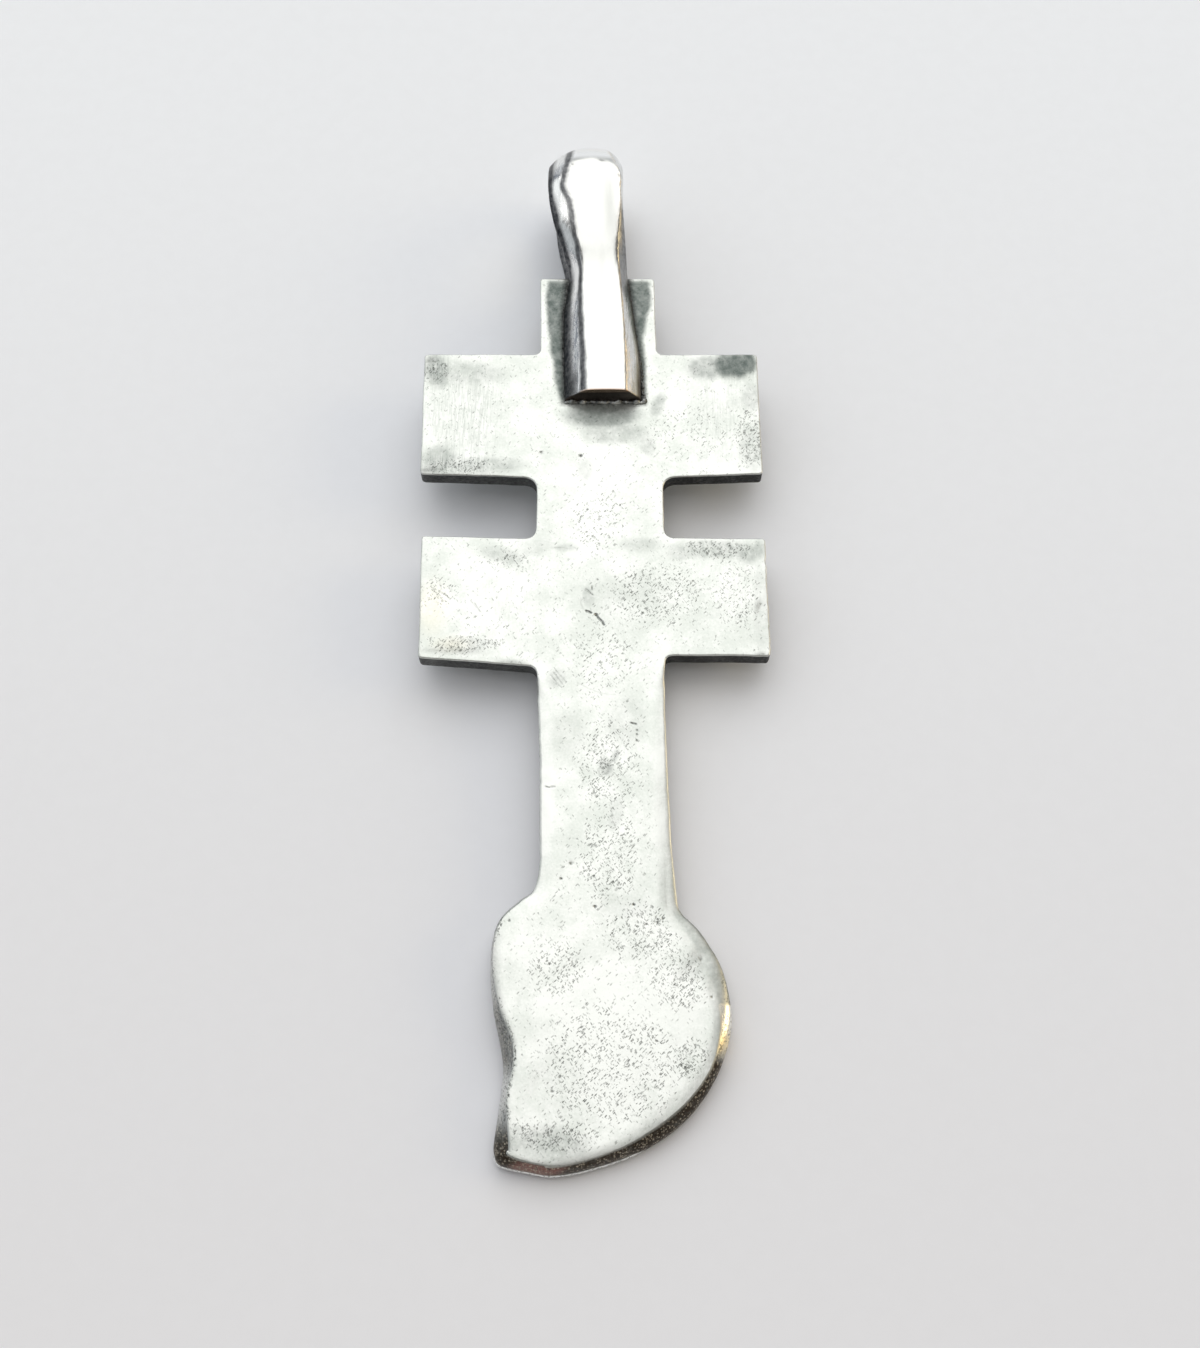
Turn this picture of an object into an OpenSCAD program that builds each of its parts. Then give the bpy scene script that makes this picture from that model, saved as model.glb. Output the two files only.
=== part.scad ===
// Silver double-barred cross pendant with a blade foot and a soldered strap bail.
// It lies face down, as it would by itself, on the front of the bail's loop and on the foot's edge.
// Drawing frame: u to the right, v up the stem to the bail, w out of the plate's flat back, which is at w = 0.

/* [Cross plate] */
// Thickness of the cast plate at the upper arms
arm_t = 1.25; // [1:0.05:1.8]
// Thickness of the cast plate at the foot
foot_t = 1.7; // [1.3:0.05:2.2]
// Reach of the arms to the left of the stem's line
reach_left = 11; // [9:0.05:13]
// Reach of the arms to the right of the stem's line
reach_right = 10; // [9:0.05:13]
// Height of the stem's upper end above the drawing's zero
stem_top = 26.8; // [25:0.1:28]
// Upper edge of the upper arms
upper_arm_top = 21.4; // [20.5:0.1:22]
// Lower edge of the upper arms
upper_arm_low = 13.05; // [11.5:0.05:14.5]
// Upper edge of the lower arms
lower_arm_top = 8.85; // [7.5:0.05:10.5]
// Lower edge of the lower arms
lower_arm_low = 1.1; // [0.6:0.05:2.5]
// Half width of the stem between the arms
stem_half = 3.87; // [3.4:0.01:4.4]
// Cut at the arms' outer corners
corner_cut = 0.25; // [0.1:0.05:0.6]
// Cut at the inner corners, where the arms meet the stem
fillet_cut = 0.7; // [0.3:0.05:1.2]
// Rounding of the plate's edges
edge_round = 0.12; // [0.05:0.01:0.3]

/* [Blade foot] */
// Length of the foot and lower stem, as a share of the cast one
foot_scale = 1; // [0.9:0.01:1.1]
// Outward slope of the foot's rim, as a share of the cast one
rim_slope = 1; // [0.5:0.05:1.2]

/* [Strap bail] */
// Thickness of the strap in the loop
strap_t = 1.2; // [0.9:0.05:1.6]
// Height of the strap above the plate's back where it is soldered on
strap_rise = 1.5; // [1.1:0.05:2]
// Clear gap of the loop, from the front limb to the back limb
loop_gap = 4.9; // [4.6:0.05:6]
// Inner top of the loop
loop_top = 35.35; // [34.5:0.05:38]

/* [Solder] */
// How far the solder spreads beside the strap
solder_spread = 0.25; // [0.15:0.05:0.5]
// Height of the solder against the strap
solder_rise = 0.25; // [0.15:0.05:0.5]

/* [Hidden] */

silver = [0.84, 0.85, 0.84];
bright_silver = [0.93, 0.93, 0.92];
solder_grey = [0.62, 0.63, 0.62];

// Points for each cut corner and for each span of a curve
corner_steps = 3;
blade_steps = 3;
strap_steps = 3;

// How deep soldered pieces sink into the plate
sink = 0.25;

// The right side of the cross from its top down, and the left side from the bottom up: [u, v, cut at the corner].
// Small offsets from the named sizes are the slants of a hand-filed edge.
cross_right = [
    [3.45, stem_top, corner_cut],
    [3.55, upper_arm_top, 0.45],
    [reach_right - 0.15, upper_arm_top - 0.02, corner_cut],
    [reach_right, upper_arm_low, corner_cut],
    [stem_half, upper_arm_low - 0.2, fillet_cut + 0.15],
    [stem_half, lower_arm_top - 0.05, fillet_cut],
    [reach_right, lower_arm_top - 0.12, corner_cut],
    [reach_right + 0.1, lower_arm_low + 0.05, corner_cut],
    [3.86, lower_arm_low + 0.1, 0.5]
];
cross_left = [
    [-3.72, lower_arm_low - 0.6, 0.6],
    [-reach_left + 0.25, lower_arm_low - 0.05, corner_cut],
    [-reach_left + 0.19, lower_arm_top + 0.07, corner_cut],
    [-stem_half, lower_arm_top - 0.13, fillet_cut + 0.1],
    [-stem_half, upper_arm_low - 0.25, fillet_cut + 0.15],
    [-reach_left - 0.02, upper_arm_low + 0.03, corner_cut],
    [-reach_left - 0.03, upper_arm_top, corner_cut],
    [-3.72, upper_arm_top, 0.45],
    [-3.82, stem_top, corner_cut]
];

// The lower stem and the foot at their widest, down the right side, round the blade and up the left side:
// [u, v, slope of the rim, width of the soft back bevel].
blade = [
    [3.82, -0.8, 0, 0.4],
    [3.82, -3, 0, 0.5],
    [3.95, -7, 0, 0.6],
    [4.1, -10.5, 0, 0.7],
    [4.32, -13.5, 0.1, 0.8],
    [4.75, -14.3, 0.2, 0.8],
    [5.6, -15.15, 0.35, 0.8],
    [6.75, -17.1, 0.45, 0.8],
    [7.25, -19.2, 0.5, 0.9],
    [7.15, -20.9, 0.55, 1],
    [6.5, -22.8, 0.55, 1],
    [5.45, -24.5, 0.55, 1],
    [3.9, -25.95, 0.55, 0.9],
    [1.8, -27.2, 0.55, 0.7],
    [-0.3, -28, 0.5, 0.5],
    [-2.5, -28.5, 0.5, 0.3],
    [-4.2, -28.28, 0.45, 0.15],
    [-5.35, -27.93, 0.35, 0.1],
    [-5.86, -27.5, 0.3, 0.1],
    [-5.8, -26.6, 0.35, 0.1],
    [-5.45, -24.4, 0.4, 0.15],
    [-5.33, -22.9, 0.4, 0.2],
    [-5.5, -21.6, 0.4, 0.2],
    [-5.9, -19.6, 0.3, 0.3],
    [-6.12, -17.4, 0.2, 0.3],
    [-6, -15.6, 0.2, 0.3],
    [-5.5, -14.4, 0.2, 0.3],
    [-4.5, -13.5, 0.15, 0.3],
    [-3.75, -12.95, 0.1, 0.4],
    [-3.46, -11.6, 0, 0.5],
    [-3.46, -8.5, 0, 0.6],
    [-3.52, -5, 0, 0.5],
    [-3.68, -1.5, 0, 0.4]
];

// The plate's edge from its front to its back:
// [share of the thickness below the back, share of the front rounding, of the rim's slope, of the back bevel].
edge_profile = [
    [1, 1, 0, 0],
    [0.9, 0.3, 0, 0],
    [0.72, 0, 0, 0],
    [0.5, 0, 0, 0],
    [0.28, 0, 0.35, 0],
    [0.12, 0, 1, 0],
    [0.05, 0, 1, 0.45],
    [0, 0, 1, 1]
];

// The strap's inner face from its foot on the back, round the loop, to its tongue on the front:
// [v, w, middle of the inner face, its width, middle of the outer face, its width, thickness, swell of its sides].
loop_mid = -0.7;
loop_back = loop_mid + loop_gap / 2;
loop_front = loop_mid - loop_gap / 2;
loop_bend = 0.36 * loop_gap;
front_face = -arm_t;
strap = [
    [18.05, -sink, 0.33, 4.95, 0.3, 2.6, strap_rise + sink, 0],
    [20.8, -sink, 0.12, 4.85, 0.27, 2.65, strap_rise + sink, 0],
    [24.2, -sink, -0.12, 4.45, 0.07, 2.65, strap_rise + sink, 0],
    [stem_top - 0.2, -0.1, -0.12, 3.85, -0.1, 2.45, strap_rise, 0],
    [28.1, loop_back - 1.05, -0.27, 4, -0.25, 2.5, strap_t + 0.1, 0.02],
    [29.5, loop_back - 0.25, -0.5, 4.3, -0.28, 2.75, strap_t, 0.04],
    [31.2, loop_back, -0.75, 4.5, -0.28, 2.9, strap_t, 0.06],
    [loop_top - 2.1, loop_back, -0.9, 4.7, -0.4, 2.9, strap_t, 0.1],
    [loop_top - 0.6, loop_mid + loop_bend, -0.95, 4.6, -0.8, 2.1, strap_t, 0.16],
    [loop_top, loop_mid, -0.95, 4.35, -0.95, 1.6, strap_t, 0.18],
    [loop_top - 0.6, loop_mid - loop_bend, -0.95, 4.5, -0.95, 2.1, strap_t, 0.16],
    [loop_top - 2.1, loop_front, -0.95, 4.5, -0.95, 2.6, strap_t, 0.1],
    [31.2, loop_front, -0.9, 4.3, -0.9, 2.6, strap_t, 0.06],
    [29.5, loop_front + 0.25, -0.6, 3.9, -0.6, 2.5, strap_t, 0.04],
    [28.1, loop_front + 0.9, -0.35, 3.7, -0.35, 2.4, strap_t, 0.02],
    [stem_top, front_face - 0.05, -0.2, 3.8, -0.2, 2.4, strap_t, 0],
    [25.4, front_face + sink, -0.15, 4, -0.15, 2.5, strap_t, 0],
    [23.6, front_face + sink, -0.15, 4, -0.15, 2.5, strap_t, 0]
];

// Height of the strap's upright side below its bevel
strap_side = 0.4;

// Catmull-Rom curve through the rows of a table.
function blend(a, b, c, d, t) =
    0.5 * (2 * b + (c - a) * t + (2 * a - 5 * b + 4 * c - d) * t * t + (3 * b - a - 3 * c + d) * t * t * t);
function smooth_rows(rows, steps) =
    let (last = len(rows) - 1)
    concat(
        [for (i = [0 : last - 1], k = [0 : steps - 1])
            blend(rows[max(i - 1, 0)], rows[i], rows[i + 1], rows[min(i + 2, last)], k / steps)],
        [rows[last]]
    );

// A corner cut by a curve that leaves each side at the same distance from the corner.
function cut_corner(before, corner, after, cut, steps) =
    let (
        start = corner + cut * (before - corner) / norm(before - corner),
        end = corner + cut * (after - corner) / norm(after - corner)
    )
    [for (k = [0 : steps])
        let (t = k / steps)
        start * (1 - t) * (1 - t) + corner * 2 * t * (1 - t) + end * t * t];

function flat(row) = [row[0], row[1]];
function scaled(row) = [row[0], row[1] * foot_scale, row[2] * rim_slope, row[3]];

blade_rows = smooth_rows([for (row = blade) scaled(row)], blade_steps);

// One side of the cross with its corners cut: [u, v, slope, bevel].
function cross_side(rows, before, after) =
    [for (i = [0 : len(rows) - 1])
        let (
            a = i == 0 ? before : flat(rows[i - 1]),
            b = i == len(rows) - 1 ? after : flat(rows[i + 1])
        )
        each [for (p = cut_corner(a, flat(rows[i]), b, rows[i][2], corner_steps)) [p[0], p[1], 0, 0]]];

outline = concat(
    cross_side(cross_right, flat(cross_left[len(cross_left) - 1]), flat(blade_rows[0])),
    blade_rows,
    cross_side(cross_left, flat(blade_rows[len(blade_rows) - 1]), flat(cross_right[0]))
);
outline_low = min([for (p = outline) p[1]]);

// The plate thickens evenly from the upper arms to the foot.
function thickness(v) = arm_t + (foot_t - arm_t) * (upper_arm_top - v) / (upper_arm_top - outline_low);

// Outward normal of the outline at one of its points; the outline runs clockwise.
function outward(i) =
    let (
        n = len(outline),
        a = flat(outline[(i + n - 1) % n]),
        b = flat(outline[i]),
        c = flat(outline[(i + 1) % n]),
        along = (b - a) / norm(b - a) + (c - b) / norm(c - b)
    )
    [-along[1], along[0]] / norm(along);

// One ring of the plate's edge at a row of the edge profile.
function edge_ring(level) =
    [for (i = [0 : len(outline) - 1])
        let (
            row = outline[i],
            inset = level[1] * (edge_round + 0.6 * row[2]) + level[2] * row[2] + level[3] * (edge_round + row[3]),
            p = flat(row) - inset * outward(i)
        )
        [p[0], p[1], -level[0] * thickness(p[1])]];

// A closed skin over rings of equal length, each running clockwise as seen from the last ring.
module skin(rings) {
    n = len(rings[0]);
    last = len(rings) - 1;
    polyhedron(
        points = [for (ring = rings) each ring],
        faces = concat(
            [[for (i = [n - 1 : -1 : 0]) i]],
            [for (r = [0 : last - 1], i = [0 : n - 1])
                each [
                    [r * n + i, r * n + (i + 1) % n, (r + 1) * n + i],
                    [r * n + (i + 1) % n, (r + 1) * n + (i + 1) % n, (r + 1) * n + i]
                ]],
            [[for (i = [0 : n - 1]) last * n + i]]
        ),
        convexity = 6
    );
}

// The cast plate: cross and blade foot in one, held to the overall length of its outline.
module cast_plate() {
    color(silver)
        translate([0, outline_low, 0])
            resize([0, stem_top - outline_low, 0])
                translate([0, -outline_low, 0])
                    skin([for (level = edge_profile) edge_ring(level)]);
}

// Direction out of the strap's outer face at a row of its smoothed table, as [v, w].
function strap_out(rows, i) =
    let (
        a = rows[max(i - 1, 0)],
        b = rows[min(i + 1, len(rows) - 1)],
        along = [b[0] - a[0], b[1] - a[1]]
    )
    [-along[1], along[0]] / norm(along);

// The strap's eight-sided section: upright sides, a bevel in two steps and a flat outer face.
function strap_section(rows, i) =
    let (
        row = rows[i],
        out = strap_out(rows, i),
        left_in = row[2] - row[3] / 2,
        right_in = row[2] + row[3] / 2,
        left_out = row[4] - row[5] / 2,
        right_out = row[4] + row[5] / 2,
        shoulder = (strap_side + row[6]) / 2 + row[7],
        corners = [
            [left_in, 0],
            [right_in, 0],
            [right_in, strap_side],
            [(right_in + right_out) / 2 + row[7], shoulder],
            [right_out, row[6]],
            [left_out, row[6]],
            [(left_in + left_out) / 2 - row[7], shoulder],
            [left_in, strap_side]
        ]
    )
    [for (c = corners) [c[0], row[0] + c[1] * out[0], row[1] + c[1] * out[1]]];

module strap_bail() {
    rows = smooth_rows(strap, strap_steps);
    color(bright_silver)
        skin([for (i = [0 : len(rows) - 1]) strap_section(rows, i)]);
}

// The outline of a strap end that lies on the plate, from some of its rows, grown by a width.
function seam_ring(rows, grow, w) =
    let (
        last = len(rows) - 1,
        foot_v = min([for (row = rows) row[0]])
    )
    concat(
        [for (row = rows)
            [row[2] - row[3] / 2 - grow, row[0] - (row[0] == foot_v ? grow : 0), w]],
        [for (i = [last : -1 : 0])
            let (row = rows[i])
            [row[2] + row[3] / 2 + grow, row[0] - (row[0] == foot_v ? grow : 0), w]]
    );

// A low run of solder round a strap end: up from the plate where side is 1, down from it where side is -1.
module seam(rows, w, side) {
    skin([
        seam_ring(rows, solder_spread, w - side * sink),
        seam_ring(rows, solder_spread, w + side * 0.03),
        seam_ring(rows, 0, w + side * solder_rise)
    ]);
}

module solder_seam() {
    color(solder_grey) {
        seam([strap[0], strap[2], strap[3]], 0, 1);
        seam([strap[15], strap[17]], front_face, -1);
    }
}

// The pendant at rest on its front: tilted so that the loop's front and the foot's front both touch.
foot_touch = [-1.15, -27.8, -foot_t];
loop_touch = [0.38, 31.8, loop_front - strap_t - 0.04];
rest_tilt = atan((foot_touch[2] - loop_touch[2]) / (loop_touch[1] - foot_touch[1]));
rest_roll = 0.91;
middle = [(reach_right - reach_left) / 2, (loop_top + strap_t + outline_low) / 2, 0];

// Height of a point of the drawing once the pendant is tilted and rolled about its middle.
function rested_height(p) =
    let (d = p - middle)
    cos(rest_roll) * (sin(rest_tilt) * d[1] + cos(rest_tilt) * d[2]) - sin(rest_roll) * d[0];
rest_lift = -min(rested_height(foot_touch), rested_height(loop_touch));

module pendant() {
    translate([0, 0, rest_lift])
        rotate([rest_tilt, rest_roll, 0])
            translate(-middle)
                union() {
                    cast_plate();
                    strap_bail();
                    solder_seam();
                }
}

pendant();
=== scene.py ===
import math
import bmesh
import bpy
import numpy as np
from mathutils import Matrix, Vector, noise
from mathutils.geometry import delaunay_2d_cdt


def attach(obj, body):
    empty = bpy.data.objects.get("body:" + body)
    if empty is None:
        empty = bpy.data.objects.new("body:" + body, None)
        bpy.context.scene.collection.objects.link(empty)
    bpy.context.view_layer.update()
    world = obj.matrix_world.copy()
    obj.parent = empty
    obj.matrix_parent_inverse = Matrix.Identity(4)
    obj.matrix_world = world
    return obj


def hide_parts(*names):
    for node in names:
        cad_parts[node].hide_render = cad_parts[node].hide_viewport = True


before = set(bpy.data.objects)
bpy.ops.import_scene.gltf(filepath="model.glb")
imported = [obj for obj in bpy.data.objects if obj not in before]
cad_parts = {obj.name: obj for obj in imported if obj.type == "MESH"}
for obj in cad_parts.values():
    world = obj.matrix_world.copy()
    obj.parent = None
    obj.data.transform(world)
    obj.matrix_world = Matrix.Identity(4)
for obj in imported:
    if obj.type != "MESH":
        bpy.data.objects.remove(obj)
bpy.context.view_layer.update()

# The drawing is in millimetres: u to the right, v up the stem to the bail, w out of the flat back.
# The pendant rests face down on the front of the bail's loop and on the foot's edge.
restPose = {
    "middle": (-0.5, 4.025, 0.0),
    "footTouch": (-1.15, -27.8, -1.7),
    "loopTouch": (0.38, 31.8, -4.39),
    "roll": 0.91,
}


def restMatrix():
    # drawing millimetres to the row frame in metres
    middle = Vector(restPose["middle"])
    foot, loop = Vector(restPose["footTouch"]), Vector(restPose["loopTouch"])
    tilt = math.atan((foot.z - loop.z) / (loop.y - foot.y))
    turn = Matrix.Rotation(math.radians(restPose["roll"]), 4, "Y") @ Matrix.Rotation(tilt, 4, "X")
    lift = -min((turn @ (p - middle)).z for p in (foot, loop))
    raised = Matrix.Scale(0.001, 4) @ Matrix.Translation((0, 0, lift))
    return raised @ turn @ Matrix.Translation(-middle)


toRow = restMatrix()


def blend(a, b, c, d, t):
    # Catmull-Rom step from b to c
    square, cube = 2 * a - 5 * b + 4 * c - d, 3 * b - a - 3 * c + d
    return 0.5 * (2 * b + (c - a) * t + square * t ** 2 + cube * t ** 3)


def smoothRows(rows, steps):
    # smooth curve through the rows of a table
    rows = [np.array(row, float) for row in rows]
    last = len(rows) - 1
    made = []
    for i in range(last):
        around = rows[max(i - 1, 0)], rows[i], rows[i + 1], rows[min(i + 2, last)]
        made += [blend(*around, k / steps) for k in range(steps)]
    return np.array(made + [rows[last]])


def ease(x):
    x = np.clip(x, 0, 1)
    return x * x * (3 - 2 * x)


def between(v, low, high, softLow, softHigh):
    # 1 between two heights, fading to 0 at each of them
    return ease((v - low) / softLow) * ease((high - v) / softHigh)


def waves(points, size, offset=0.0):
    # smooth noise from -1 to 1 over points in millimetres; offset picks another patch of it
    shift = Vector((offset, 0.37 * offset, 0.61 * offset))
    return np.array([noise.noise(Vector(p) / size + shift) for p in points])


def flatPoints(uv):
    return np.column_stack([uv, np.zeros(len(uv))])


def spots(uv, rows, edge=1.0):
    # round or long marks: u, v, half length, half width, angle, strength
    # edge is the soft share of the radius
    mask = np.zeros(len(uv))
    for u, v, long, wide, angle, strength in rows:
        c, s = math.cos(math.radians(angle)), math.sin(math.radians(angle))
        du, dv = uv[:, 0] - u, uv[:, 1] - v
        far = np.hypot((du * c + dv * s) / long, (dv * c - du * s) / wide)
        mask = np.maximum(mask, strength * ease((1 - far) / edge))
    return mask


def lineDistance(uv, line):
    # distance to a polyline, with the nearest segment and the share along it
    line = np.array(line, float)
    a, b = line[:-1], line[1:]
    ab = b - a
    length = (ab ** 2).sum(1)
    far, index, share = np.empty(len(uv)), np.empty(len(uv), int), np.empty(len(uv))
    for start in range(0, len(uv), 2000):
        p = uv[start:start + 2000, None, :]
        t = np.clip(((p - a) * ab).sum(2) / length, 0, 1)
        d = np.hypot(*np.moveaxis(p - (a + t[:, :, None] * ab), 2, 0))
        best = d.argmin(1)
        pick = np.arange(len(best))
        far[start:start + 2000] = d[pick, best]
        index[start:start + 2000] = best
        share[start:start + 2000] = t[pick, best]
    return far, index, share


def giveMasks(mesh, masks):
    # a number or a vector for each point, by name
    for name, values in masks.items():
        values = np.asarray(values, np.float32)
        kind, key = ("FLOAT", "value") if values.ndim == 1 else ("FLOAT_VECTOR", "vector")
        mesh.attributes.new(name, kind, "POINT").data.foreach_set(key, values.ravel())


def readMask(mesh, name):
    values = np.empty(len(mesh.vertices), np.float32)
    mesh.attributes[name].data.foreach_get("value", values)
    return values


def meshFrom(name, points, faces):
    mesh = bpy.data.meshes.new(name)
    mesh.from_pydata([tuple(p) for p in points], [], faces)
    mesh.update()
    return mesh


def faceOutward(mesh):
    form = bmesh.new()
    form.from_mesh(mesh)
    bmesh.ops.recalc_face_normals(form, faces=form.faces)
    form.to_mesh(mesh)
    form.free()


def placeObject(name, data):
    made = bpy.data.objects.new(name, data)
    bpy.context.scene.collection.objects.link(made)
    return made


def finishPiece(name, mesh, material, sharpAngle):
    faceOutward(mesh)
    mesh.transform(toRow)
    mesh.shade_smooth()
    mesh.set_sharp_from_angle(angle=math.radians(sharpAngle))
    mesh.materials.clear()
    mesh.materials.append(material)
    piece = placeObject(name, mesh)
    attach(piece, "root")
    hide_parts("pendant")
    triangles = sum(len(p.vertices) - 2 for p in mesh.polygons)
    print(f"{name}: {len(mesh.vertices)} points, {triangles} triangles")
    return piece


def feed(tree, socket, value):
    # links another socket to this one, or sets a colour or a plain value on it
    if isinstance(value, bpy.types.NodeSocket):
        tree.links.new(value, socket)
    elif isinstance(value, tuple):
        socket.default_value = (*value, 1.0)
    elif value is not None:
        socket.default_value = value


def newNode(tree, kind, inputs=None, **settings):
    node = tree.nodes.new(kind)
    for name, value in settings.items():
        setattr(node, name, value)
    for name, value in (inputs or {}).items():
        feed(tree, node.inputs[name], value)
    return node


def newGroup(name, inputs, outputs):
    tree = bpy.data.node_groups.new(name, "ShaderNodeTree")
    for label, value in inputs.items():
        kind = "NodeSocketVector" if value is None else "NodeSocketFloat"
        socket = tree.interface.new_socket(label, in_out="INPUT", socket_type=kind)
        if value is not None:
            socket.default_value = value
    for label in outputs:
        tree.interface.new_socket(label, in_out="OUTPUT", socket_type="NodeSocketFloat")
    return tree, newNode(tree, "NodeGroupInput").outputs, newNode(tree, "NodeGroupOutput").inputs


def mathNode(tree, operation, a, b=None, clamp=False):
    node = newNode(tree, "ShaderNodeMath", {0: a, 1: b}, operation=operation, use_clamp=clamp)
    return node.outputs[0]


def times(tree, a, b):
    return mathNode(tree, "MULTIPLY", a, b)


def plus(tree, *parts):
    total = parts[0]
    for part in parts[1:]:
        total = mathNode(tree, "ADD", total, part)
    return total


def minus(tree, a, b):
    return mathNode(tree, "SUBTRACT", a, b)


def stepNode(tree, value, low, high, toLow=0.0, toHigh=1.0):
    inputs = dict(enumerate((value, low, high, toLow, toHigh)))
    node = newNode(tree, "ShaderNodeMapRange", inputs, interpolation_type="SMOOTHSTEP")
    return node.outputs["Result"]


def noiseNode(tree, vector, scale, detail=2.0, roughness=0.5):
    inputs = {"Vector": vector, "Scale": scale, "Detail": detail, "Roughness": roughness}
    return newNode(tree, "ShaderNodeTexNoise", inputs).outputs[0]


def vectorNode(tree, operation, a, b=None):
    # b is a second vector, or the factor that a is scaled by
    inputs = {0: a, "Scale" if operation == "SCALE" else 1: b}
    return newNode(tree, "ShaderNodeVectorMath", inputs, operation=operation).outputs[0]


def joinVector(tree, x=0.0, y=0.0, z=0.0):
    return newNode(tree, "ShaderNodeCombineXYZ", {0: x, 1: y, 2: z}).outputs[0]


def splitVector(tree, vector):
    return newNode(tree, "ShaderNodeSeparateXYZ", {0: vector}).outputs


def stretched(tree, given):
    # the group's coordinates, turned about Z and squeezed along Y
    around = {"Vector": given["Vector"], "Angle": given["Angle"]}
    turn = newNode(tree, "ShaderNodeVectorRotate", around, rotation_type="Z_AXIS")
    return vectorNode(tree, "MULTIPLY", turn.outputs[0], joinVector(tree, 1.0, given["Stretch"], 1.0))


def speckleGroup():
    # short dark dashes left by the casting, at most one to a cell; the scale is in cells per metre
    tree, given, out = newGroup("castingPits", {
        "Vector": None, "Scale": 8000.0, "Density": 0.5, "Clumping": 0.3,
        "Angle": 0.0, "Stretch": 1.0, "Size": 0.40,
    }, ["Pits", "Height"])
    spacing = {"Vector": stretched(tree, given), "Scale": given["Scale"]}
    cells = newNode(tree, "ShaderNodeTexVoronoi", spacing, feature="F1")
    chance = newNode(tree, "ShaderNodeSeparateColor", {0: cells.outputs["Color"]}).outputs
    # a slow noise gathers the pits in clumps, and the density says how many cells have one
    clumps = noiseNode(tree, given["Vector"], times(tree, given["Scale"], 0.12), 2.0, 0.6)
    clumps = times(tree, minus(tree, clumps, 0.5), 8.0)
    clumps = plus(tree, times(tree, clumps, given["Clumping"]), 1.0)
    density = mathNode(tree, "MAXIMUM", given["Density"], 0.0)
    density = times(tree, times(tree, times(tree, density, density), 0.5), clumps)
    there = stepNode(tree, minus(tree, density, chance[0]), 0.0, 0.03)
    # each pit has its own size and darkness
    radius = times(tree, plus(tree, times(tree, chance[1], 0.8), 0.6), given["Size"])
    reach = mathNode(tree, "DIVIDE", cells.outputs["Distance"], radius)
    dash = times(tree, stepNode(tree, reach, 0.7, 1.2, 1.0, 0.0), there)
    dark = plus(tree, times(tree, chance[2], 0.5), 0.5)
    faint = mathNode(tree, "ADD", given["Density"], 0.25, clamp=True)
    pits = times(tree, times(tree, dash, dark), faint)
    feed(tree, out["Pits"], pits)
    feed(tree, out["Height"], times(tree, pits, -1.0))
    return tree


def brushGroup():
    # long fine lines of a file or a brush, in lines per metre
    tree, given, out = newGroup("brushLines", {
        "Vector": None, "Angle": 0.0, "Scale": 9000.0, "Stretch": 0.05,
    }, ["Lines"])
    feed(tree, out["Lines"], noiseNode(tree, stretched(tree, given), given["Scale"], 3.0, 0.65))
    return tree


def grimeAndShadeGroup():
    # a painted mask with its edge broken up, for tarnish, soot and painted shade
    tree, given, out = newGroup("grimeAndShadeEdge", {
        "Vector": None, "Mask": 0.0, "Scale": 1500.0, "Breakup": 0.5,
    }, ["Mask"])
    broken = noiseNode(tree, given["Vector"], given["Scale"], 4.0, 0.65)
    broken = times(tree, minus(tree, broken, 0.5), given["Breakup"])
    inside = times(tree, stepNode(tree, given["Mask"], 0.0, 0.25), broken)
    feed(tree, out["Mask"], mathNode(tree, "ADD", given["Mask"], inside, clamp=True))
    return tree


groups = {"pits": speckleGroup(), "brush": brushGroup(), "grime": grimeAndShadeGroup()}


def placeGroup(tree, group, vector, inputs):
    inputs = {"Vector": vector, **inputs}
    return newNode(tree, "ShaderNodeGroup", inputs, node_tree=groups[group]).outputs


def maskNode(tree, name):
    return newNode(tree, "ShaderNodeAttribute", attribute_name=name).outputs["Fac"]


def grimeAndShadeMask(tree, coords, name, edge):
    return placeGroup(tree, "grime", coords, {**edge, "Mask": maskNode(tree, name)})[0]


def mixColour(tree, share, a, b):
    node = newNode(tree, "ShaderNodeMix", {0: share}, data_type="RGBA")
    for socket, value in zip([s for s in node.inputs if s.type == "RGBA"], (a, b)):
        feed(tree, socket, value)
    return [s for s in node.outputs if s.type == "RGBA"][0]


def mixValue(tree, share, a, b):
    return newNode(tree, "ShaderNodeMix", {0: share, 2: a, 3: b}, data_type="FLOAT").outputs[0]


def layered(tree, base, layers, mix=mixColour):
    # lays each colour or value over what is below it, by its share
    for share, value in layers:
        base = mix(tree, share, base, value)
    return base


def newMaterial(name, metallic=1.0):
    material = bpy.data.materials.new(name)
    material.use_nodes = True
    tree = material.node_tree
    shader = tree.nodes["Principled BSDF"].inputs
    feed(tree, shader["Metallic"], metallic)
    return material, tree, shader, newNode(tree, "ShaderNodeTexCoord").outputs["Object"]


def bumpInto(tree, shader, layers):
    # stacked layers, each a height, its distance in metres and its strength
    normal = None
    for height, distance, strength in layers:
        normal = newNode(tree, "ShaderNodeBump", {
            "Height": height, "Distance": distance, "Strength": strength, "Normal": normal,
        }).outputs[0]
    feed(tree, shader["Normal"], normal)


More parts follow.
